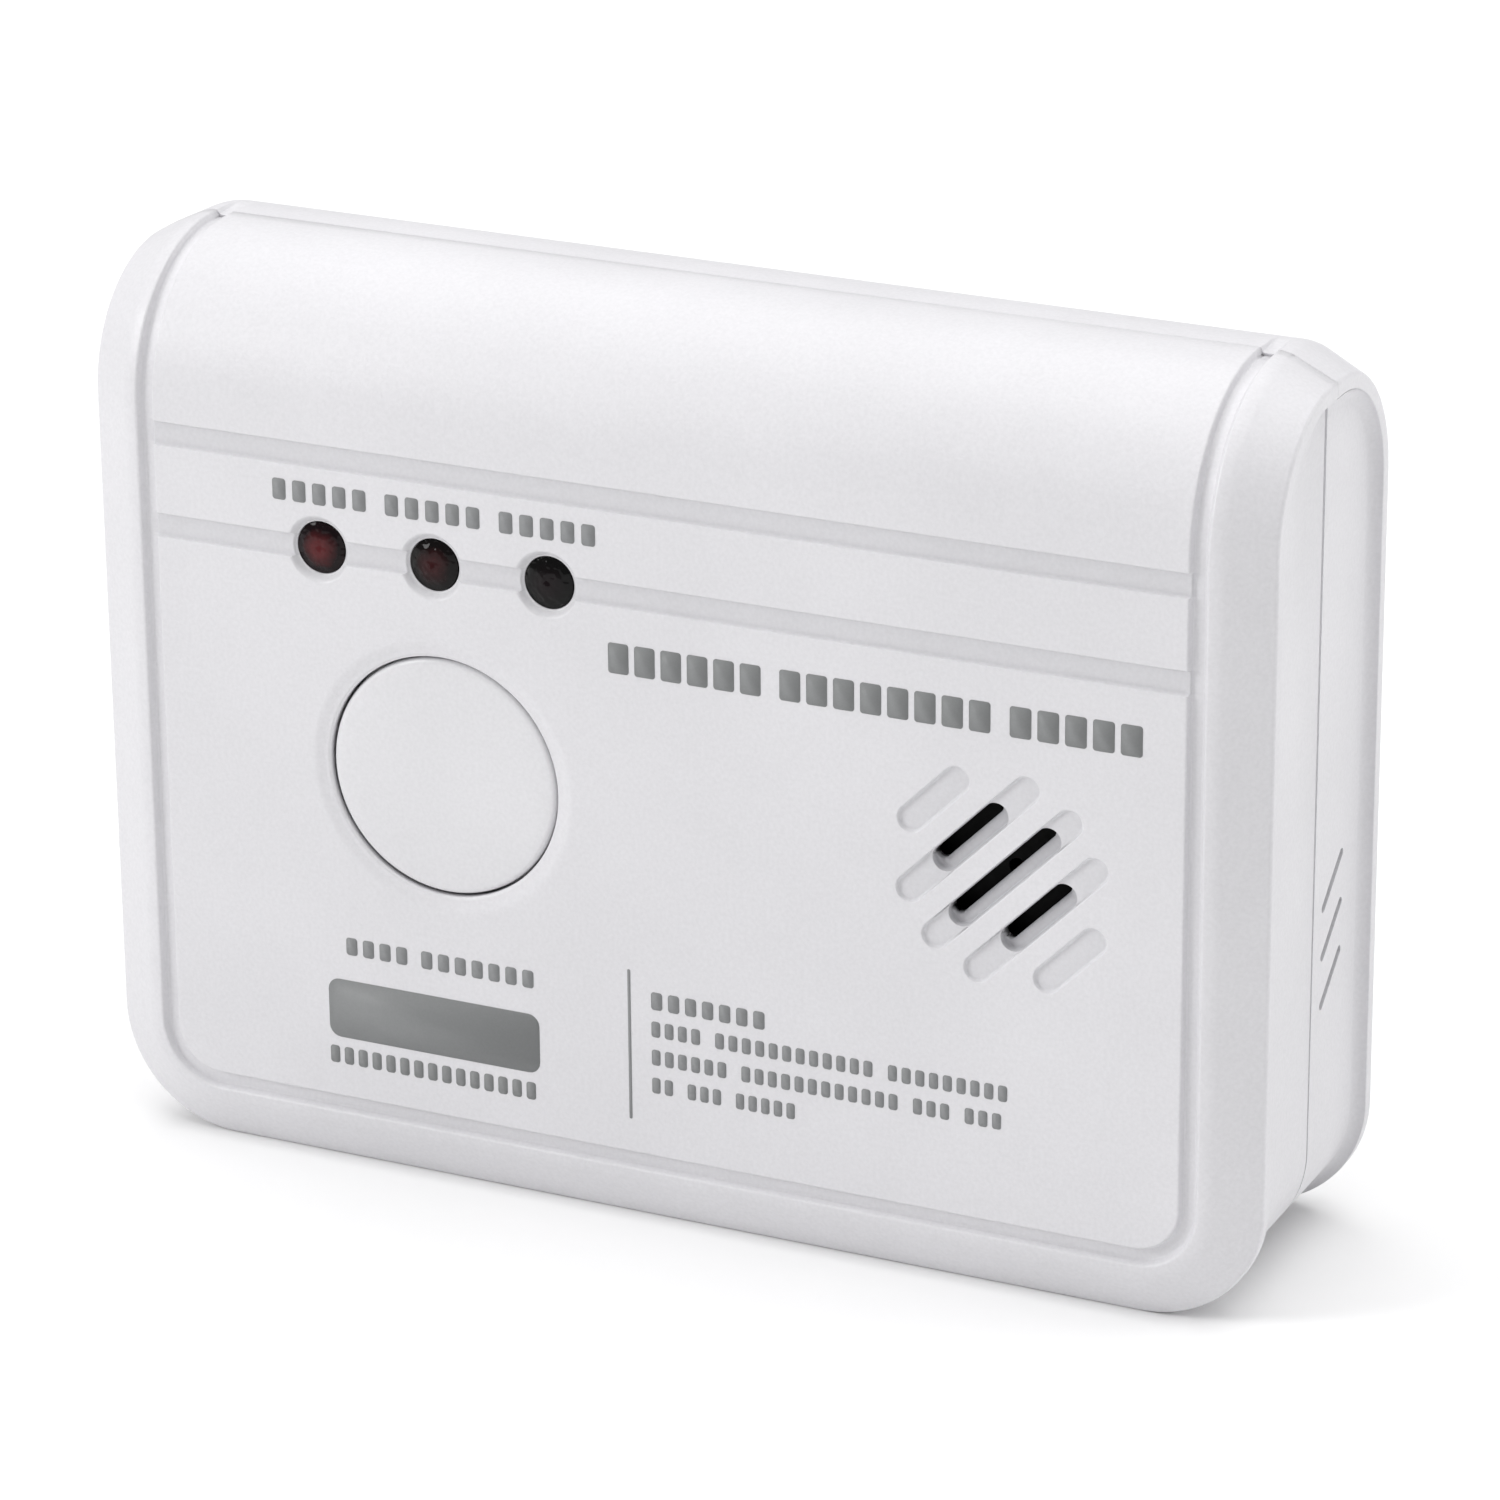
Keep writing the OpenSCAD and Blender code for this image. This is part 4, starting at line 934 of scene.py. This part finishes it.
def lens(name, warm_middle, deep):
    """Tinted lens: the die side shows warm in the middle, and painted shade darkens it to near black towards the edge.
    """
    mat, nodes, links, shader, at = principled(f"{name}_lens", deep, 0.05, specular=0.12, coat=0.1)
    middle = node_mid(name) * MM
    away = nodes.new("ShaderNodeVectorMath")
    away.operation = "SUBTRACT"
    away.inputs[1].default_value = middle
    links.new(at, away.inputs[0])
    flat = nodes.new("ShaderNodeVectorMath")
    flat.operation = "MULTIPLY"
    flat.inputs[1].default_value = (1, 0, 1)
    links.new(away.outputs["Vector"], flat.inputs[0])
    reach = nodes.new("ShaderNodeVectorMath")
    reach.operation = "LENGTH"
    links.new(flat.outputs["Vector"], reach.inputs[0])
    wavy = nodes.new("ShaderNodeMath")
    wavy.operation = "MULTIPLY_ADD"
    links.new(noise(nodes, links, at, 700, 2.0), wavy.inputs[0])
    wavy.inputs[1].default_value = 0.0009
    links.new(reach.outputs["Value"], wavy.inputs[2])
    inner, outer = 0.0009, 0.0027    # metres from the axis: where the painted shade starts to darken the warm middle, and where it is full
    # Painted shade: colour runs from the warm middle to near black at the edge, standing in for the dome's shading
    share = remap(nodes, links, wavy.outputs["Value"], 0, 1, inner, outer)
    links.new(two_tone(nodes, links, share, warm_middle, deep, 0.1, 0.85), shader.inputs["Base Color"])
    links.new(remap(nodes, links, noise(nodes, links, at, 900), 0.03, 0.07), shader.inputs["Roughness"])
    add_bump(nodes, links, shader, noise(nodes, links, at, 1100, 1.0), 0.8, 3e-4)
    return mat


def cell_jacket(name, nub_side):
    """Printed sleeve: dark with a copper band next to the plus end, on the side given as -1 or 1."""
    mat, nodes, links, shader, at = principled(f"{name}_jacket", (0.03, 0.033, 0.04), 0.3, coat=0.5)
    low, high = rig.box(name)
    split = nodes.new("ShaderNodeSeparateXYZ")
    links.new(at, split.inputs["Vector"])
    near, far = (high.x, low.x) if nub_side > 0 else (low.x, high.x)
    along = remap(nodes, links, split.outputs["X"], 0, 1, near, far)
    band = nodes.new("ShaderNodeValToRGB")
    band.color_ramp.interpolation = "CONSTANT"
    stops = ((0.0, (0.6, 0.58, 0.54)), (0.035, (0.42, 0.2, 0.09)), (0.25, (0.03, 0.033, 0.04)),
             (0.985, (0.6, 0.58, 0.54)))
    for place, color in stops[1:3]:
        band.color_ramp.elements.new(place).color = (*color, 1)
    band.color_ramp.elements[0].color = (*stops[0][1], 1)
    band.color_ramp.elements[-1].position = stops[3][0]
    band.color_ramp.elements[-1].color = (*stops[3][1], 1)
    links.new(along, band.inputs["Fac"])
    links.new(band.outputs["Color"], shader.inputs["Base Color"])
    links.new(remap(nodes, links, noise(nodes, links, at, 600), 0.26, 0.36), shader.inputs["Roughness"])
    return mat


def paint(obj, mat, slot=None):
    obj.data.materials.clear()
    obj.data.materials.append(mat)
    if slot:
        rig.slot(obj, slot)


WHITE = (0.712, 0.705, 0.728)
case_white = moulded("case_white", WHITE, 0.42, relief=0.5)
button_white = moulded("button_white", (0.715, 0.71, 0.73), 0.36, relief=0.25)
door_white = moulded("door_white", (0.705, 0.70, 0.722), 0.42, relief=0.5)
ink_grey = moulded("ink_grey", (0.23, 0.236, 0.238), 0.5, grain=5000, relief=0.1)
ink_pale = moulded("ink_pale", (0.25, 0.255, 0.26), 0.5, grain=5000, relief=0.1)
NODE_LOOKS = {
    "front_cover": (case_white, "case_white"),
    "rear_housing": (case_white, "case_white"),
    "battery_door": (door_white, "door_white"),
    "test_button": (button_white, "button_white"),
    "led_alarm": (lens("led_alarm", (0.085, 0.014, 0.016), (0.006, 0.002, 0.003)), "lens_alarm"),
    "led_fault": (lens("led_fault", (0.03, 0.006, 0.007), (0.003, 0.002, 0.002)), "lens_fault"),
    "led_power": (lens("led_power", (0.006, 0.003, 0.004), (0.002, 0.002, 0.002)), "lens_power"),
}
BLACK = moulded("black_plastic", (0.004, 0.004, 0.004), 0.6, specular=0.15)
TINNED = metal("tinned_metal", (0.7, 0.7, 0.72), 0.3)
STEEL = metal("screw_steel", (0.62, 0.63, 0.65), 0.28)
NICKEL = metal("contact_nickel", (0.72, 0.71, 0.68), 0.25)
for name in ("switch_body", "switch_plunger", "led_spacers", "sounder_chamber", "piezo_ring", "control_chip",
             "driver_transistor"):
    NODE_LOOKS[name] = (BLACK, "black_plastic")
for name in ("led_leads", "chip_legs", "sensor_cap"):
    NODE_LOOKS[name] = (TINNED, "tinned_metal")
for name in ("board_screws", "case_screws"):
    NODE_LOOKS[name] = (STEEL, "screw_steel")
for name in ("contact_springs", "contact_plates"):
    NODE_LOOKS[name] = (NICKEL, "contact_nickel")
NODE_LOOKS["circuit_board"] = (moulded("board_green", (0.03, 0.18, 0.07), 0.3, coat=0.6), "board_green")
FOAM = moulded("foam_black", (0.03, 0.03, 0.03), 0.9, grain=1400, relief=1.0)
NODE_LOOKS["sounder_gasket"] = (FOAM, "foam_black")
NODE_LOOKS["piezo_disc"] = (metal("brass", (0.72, 0.55, 0.25), 0.3), "brass")
NODE_LOOKS["sensor_pins"] = (metal("pin_brass", (0.75, 0.62, 0.35), 0.3), "brass")
NODE_LOOKS["piezo_ceramic"] = (moulded("ceramic_white", (0.8, 0.79, 0.76), 0.3), "ceramic_white")
NODE_LOOKS["sensor_body"] = (moulded("sensor_plastic", (0.72, 0.71, 0.65), 0.5), "sensor_plastic")
NODE_LOOKS["sensor_filter"] = (moulded("filter_white", (0.8, 0.8, 0.8), 0.9, relief=1.0), "sensor_plastic")
SLEEVE = moulded("capacitor_sleeve", (0.03, 0.05, 0.16), 0.3, coat=0.5)
NODE_LOOKS["capacitors"] = (SLEEVE, "capacitor_sleeve")
NODE_LOOKS["inductor_core"] = (moulded("ferrite", (0.07, 0.07, 0.075), 0.6, grain=1800), "ferrite")
NODE_LOOKS["inductor_winding"] = (metal("copper_wire", (0.75, 0.35, 0.15), 0.3, (1, 12, 1)), "copper_wire")
NODE_LOOKS["resistors"] = (moulded("resistor_tan", (0.62, 0.48, 0.3), 0.35, coat=0.4), "resistor_tan")
for k in (1, 2, 3):
    NODE_LOOKS[f"battery_{k}"] = (cell_jacket(f"battery_{k}", -1 if k == 2 else 1), "battery_jacket")
NODE_LOOKS["lead_black"] = (moulded("wire_black", (0.02, 0.02, 0.02), 0.45), "lead_black")
NODE_LOOKS["lead_red"] = (moulded("wire_red", (0.5, 0.03, 0.03), 0.45), "lead_red")
ROUNDED = {"battery_door": 0.3, "led_alarm": 0.25, "led_fault": 0.25, "led_power": 0.25, "control_chip": 0.15,
           "switch_body": 0.2, "circuit_board": 0.1}
for name, node in frame["nodes"].items():
    paint(node, *NODE_LOOKS[name])
    if name in ROUNDED:
        bevel = node.modifiers.new("soft_edges", "BEVEL")
        bevel.width = ROUNDED[name] * MM
        bevel.segments = 3
        bevel.limit_method = "ANGLE"
        bevel.angle_limit = radians(40)
    weighted(node, 28)

# ---------------------------------------------------------------------------
# Pieces
# ---------------------------------------------------------------------------
front = weighted(build_shell("front_shell", front_features(), bend, FRONT_FILLET))
paint(front, case_white, "case_white")
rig.replaces(front, "front_cover")
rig.ride(front, "case")


def prism(name, outline, low, high, axis):
    """A closed prism: outline in the two other axes, from low to high along axis."""
    bm = bmesh.new()
    ends = []
    for level in (low, high):
        corners = [(level, u, v) if axis == "X" else (u, level, v) for u, v in outline]
        ends.append([bm.verts.new(p) for p in corners])
    bm.faces.new(ends[0])
    bm.faces.new(ends[1][::-1])
    for k in range(len(outline)):
        bm.faces.new([ends[0][k - 1], ends[0][k], ends[1][k], ends[1][k - 1]])
    return to_object(bm, name)


def cut_away(obj, cutters):
    """Takes the cutters' volumes out of obj and removes the cutters."""
    for cutter in cutters:
        mod = obj.modifiers.new("cut", "BOOLEAN")
        mod.operation = "DIFFERENCE"
        mod.solver = "EXACT"
        mod.object = cutter
    graph = bpy.context.evaluated_depsgraph_get()
    mesh = bpy.data.meshes.new_from_object(obj.evaluated_get(graph))
    obj.modifiers.clear()
    obj.data = mesh
    for cutter in cutters:
        bpy.data.objects.remove(cutter)
    return obj


def rear_cutters():
    """Side vents, and the gap along the seam of the side and bottom walls."""
    cutters = []
    past = 1                     # the cutters reach this far past the wall
    wall_x = HALF_W - RIM_STEP
    top = ARCH_Z + ARCH_R - RIM_DEPTH - RIM_LAND - SEAM_GAP_SHORT
    for side in (-1, 1):
        for k in (-1, 0, 1):
            vent_z = VENT_MID.y + k * VENT_PITCH
            half = (VENT_L - VENT_W) / 2
            vent = Pill(VENT_MID.x, vent_z, half, VENT_W / 2, [], angle=VENT_ANGLE)
            ends = sorted((side * (wall_x + past), side * (HALF_W - CAVITY_IN - past)))
            cutters.append(prism(f"vent_{side}_{k}", vent.lines(0)[0][:-1], *ends, "X"))
        wedge = [(-past, CORNER_R), (SEAM_GAP_LOW, CORNER_R), (SEAM_GAP_TOP, top), (-past, top)]
        ends = sorted((side * (wall_x + past), side * (wall_x - SEAM_GAP_DEPTH)))
        cutters.append(prism(f"gap_{side}", wedge, *ends, "X"))
    low_ring = [(x, min(z, CORNER_R + past)) for x, z in ring(0)]
    inner_ring = [(x, min(z, CORNER_R + past)) for x, z in ring(RIM_STEP + SEAM_GAP_DEPTH)]
    cutters.append(prism("gap_low", low_ring + inner_ring[::-1], -past, SEAM_GAP_LOW, "Y"))
    return cutters


def loft(name, loops):
    """A closed solid through loops of (points, y), all with as many points."""
    bm = bmesh.new()
    rings = [[bm.verts.new((x, y, z)) for x, z in points] for points, y in loops]
    for a, b in zip(rings, rings[1:]):
        for k in range(len(a)):
            bm.faces.new([a[k - 1], a[k], b[k], b[k - 1]])
    bm.faces.new(rings[0])
    bm.faces.new(rings[-1][::-1])
    return to_object(bm, name)


def bay_piece():
    """The battery compartment: a deep tray with a flange behind the door opening."""
    def rect(grow, r):
        return rounded_rect(BAY_LOW.x - grow, BAY_HIGH.x + grow, BAY_LOW.z - grow, BAY_HIGH.z + grow, r)

    x0, x1 = DOOR_LOW.x + STUB_L - DOOR_GAP - FLANGE, DOOR_HIGH.x - STUB_L + DOOR_GAP + FLANGE
    flange = rounded_rect(x0, x1, BAY_LOW.z - BAY_WALL, DOOR_HIGH.z + DOOR_GAP + FLANGE, 0.8)
    r, mid, lip = 0.6, 0.18, 0.2     # round of the floor's edge, a point on it, bevel of the mouth
    y_floor, y_top = BAY_LOW.y, BAY_HIGH.y
    loops = [
        (rect(-r, r / 2), y_floor),
        (rect(-mid, 0.5), y_floor + mid),
        (rect(0, r), y_floor + r),
        (rect(0, r), y_top - lip),
        (rect(lip, r + lip), y_top),
        (flange, y_top),
        (flange, y_top - BAY_WALL),
        (rect(BAY_WALL, 1), y_top - BAY_WALL),
        (rect(BAY_WALL, 1), y_floor - BAY_WALL),
    ]
    return loft("battery_bay", loops)


def screw_well(k, x, z):
    """The tube in which a case screw's head sits; its end laps a little into the rear wall."""
    inner, outer, hole = SCREW_HEAD_R + SCREW_GAP, SCREW_WELL_R, SCREW_HOLE_R
    bevel, lap = 0.2, 0.1
    y_top = HALF_D - WALL + lap
    profile = [(inner, y_top), (inner, SCREW_SEAT_Y + bevel), (inner - bevel, SCREW_SEAT_Y)]
    profile += [(hole, SCREW_SEAT_Y), (hole, SEAM), (outer, SEAM), (outer, y_top), (inner, y_top)]
    return lathe(f"screw_well_{k}", profile, x, z, 48)


rear = build_shell("rear_shell", rear_features(), bend_rear, REAR_FILLET)
rear = weighted(cut_away(rear, rear_cutters()), 40)
paint(rear, case_white, "case_white")
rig.replaces(rear, "rear_housing")
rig.ride(rear, "case")
rear_parts = [bay_piece()] + [screw_well(k, x, z) for k, (x, z) in enumerate(screw_places())]
for piece in rear_parts:
    weighted(piece, 40)
    paint(piece, case_white, "case_white")
    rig.ride(piece, "case")


def button_piece():
    """The test button: soft crown, rounded edge, skirt and retaining lip."""
    low, high = node_box("test_button")
    face = low.y
    crown, edge_r = 0.12, 0.6
    profile = [(0, face)]
    for k in range(1, 13):
        r = (BUTTON_R - edge_r) * k / 12
        profile.append((r, face + crown * (r / BUTTON_R) ** 2))
    profile += arc(BUTTON_R - edge_r, face + crown + edge_r, edge_r, -90, 0, 8)[1:]
    lip_y, lip_h, lip_r = -HALF_D + WALL + 0.25, 1, BUTTON_R + 1.3
    profile += [(BUTTON_R, lip_y - 0.05), (lip_r, lip_y), (lip_r, lip_y + lip_h)]
    skirt_r, roof_y, post_r, bevel = BUTTON_R - 1.4, face + 1.65, 2.5, 0.1
    profile += [(skirt_r, lip_y + lip_h), (skirt_r, roof_y), (post_r, roof_y)]
    profile += [(post_r, high.y - bevel), (post_r - bevel, high.y), (0, high.y)]
    return lathe("button_face", profile, BUTTON.x, BUTTON.z, 160)


button = weighted(button_piece(), 50)
paint(button, button_white, "button_white")
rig.replaces(button, "test_button")
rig.ride(button, "button")


def rounded_bar(bm, x0, x1, z0, z1, r):
    """A thin raised bar with rounded corners on the front panel."""
    outline = rounded_rect(x0, x1, z0, z1, r)
    top = [bm.verts.new((x, -HALF_D - MARK_PROUD, z)) for x, z in outline]
    low = [bm.verts.new((x, -HALF_D + MARK_PROUD, z)) for x, z in outline]
    bm.faces.new(top)
    bm.faces.new(low[::-1])
    for k in range(len(outline)):
        bm.faces.new([top[k - 1], top[k], low[k], low[k - 1]])


def words(bm, x0, x1, z0, z1, lengths, gap, fill=0.66):
    """A line of small plain blocks in place of print, in groups of the given lengths."""
    unit = (x1 - x0 - gap * (len(lengths) - 1)) / sum(lengths)
    x = x0
    for n in lengths:
        for k in range(n):
            rounded_bar(bm, x + k * unit, x + (k + fill) * unit, z0, z1, min(0.3, unit / 5))
        x += n * unit + gap


def print_marks():
    """Plain bars and blocks where the panel carries print."""
    bold, fine = bmesh.new(), bmesh.new()
    words(bold, -4.8, 49.0, 55.9, 58.9, (6, 8, 5), 1.3, 0.78)
    words(fine, -39.8, -5.2, 68.0, 70.1, (5, 5, 5), 1.3)
    words(fine, -33.5, -12.7, 22.5, 24.3, (4, 7), 0.9)
    rounded_bar(bold, -35.6, -12.8, 13.7, 19.8, 1.2)
    words(bold, -35.6, -12.8, 10.9, 12.7, (15,), 1)
    words(fine, -0.9, 11.5, 22.6, 24.4, (7,), 1)
    words(fine, -0.9, 36.0, 19.8, 21.4, (4, 12, 9), 1.1)
    words(fine, -0.9, 35.4, 16.9, 18.5, (6, 12, 3, 3), 1.1)
    words(fine, -0.9, 14.4, 14.0, 15.6, (2, 3, 5), 1.1)
    rounded_bar(fine, -3.35, -3.05, 10.9, 26.3, 0.12)
    return to_object(bold, "print_bold"), to_object(fine, "print_fine")


for piece, mat in zip(print_marks(), (ink_grey, ink_pale)):
    paint(piece, mat)
    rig.ride(piece, "case")

# ---------------------------------------------------------------------------
# Camera, floor and lights
# ---------------------------------------------------------------------------
LENS = 154.4
YAW, PITCH, ROLL = radians(25.49), radians(21.37), radians(-0.51)
DISTANCE = 0.5910
TARGET = Vector((0.00964, -0.0165, 0.05049))
FLOOR_HALF = 4 / MM


def make_camera():
    back = Vector((sin(YAW) * cos(PITCH), -cos(YAW) * cos(PITCH), sin(PITCH)))
    right = Vector((cos(YAW), sin(YAW), 0))
    up = back.cross(right)
    turned_right = cos(ROLL) * right + sin(ROLL) * up
    turned_up = -sin(ROLL) * right + cos(ROLL) * up
    camera = bpy.data.objects.new("camera", bpy.data.cameras.new("camera"))
    camera.data.lens = LENS
    camera.data.sensor_width = 36
    camera.data.clip_start = 0.01
    axes = Matrix((turned_right, turned_up, back)).transposed().to_4x4()
    camera.matrix_world = Matrix.Translation(TARGET + back * DISTANCE) @ axes
    bpy.context.scene.collection.objects.link(camera)
    bpy.context.scene.camera = camera


def make_floor():
    """Pale paper sweep: a flat sheet with a faint tooth."""
    bm = bmesh.new()
    bmesh.ops.create_grid(bm, x_segments=8, y_segments=8, size=FLOOR_HALF)
    floor = to_object(bm, "floor")
    mat, nodes, links, shader, at = principled("paper", (0.96, 0.96, 0.96), 0.9, specular=0.2)
    add_bump(nodes, links, shader, noise(nodes, links, at, 900), 0.1, 1e-5)
    floor.data.materials.append(mat)
    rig.stage(floor)


def area_light(name, at, aim, size, power):
    light = bpy.data.objects.new(name, bpy.data.lights.new(name, "AREA"))
    light.data.shape = "RECTANGLE"
    light.data.size = size
    light.data.size_y = size
    light.data.energy = power
    direction = Vector(aim) - Vector(at)
    light.rotation_euler = direction.to_track_quat("-Z", "Y").to_euler()
    light.location = at
    bpy.context.scene.collection.objects.link(light)


make_camera()
make_floor()
area_light("top_softbox", (0.0, 0.15, 1.5), (0, 0.1, 0), 2.0, 25)
area_light("key", (-1.0, -0.8, 0.7), (0, 0, 0.04), 0.5, 8)
area_light("side", (1.0, 0.6, 0.5), (0, 0, 0.04), 0.6, 3.3)
world = bpy.data.worlds.new("studio")
world.use_nodes = True
world.node_tree.nodes["Background"].inputs["Color"].default_value = (1, 1, 1, 1)
world.node_tree.nodes["Background"].inputs["Strength"].default_value = 0.355
bpy.context.scene.world = world
bpy.context.scene.view_settings.view_transform = "Standard"

with open("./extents.json", "w") as out:
    json.dump({"cad": cad_box, "visual": [list(corner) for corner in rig.bounds()]}, out)
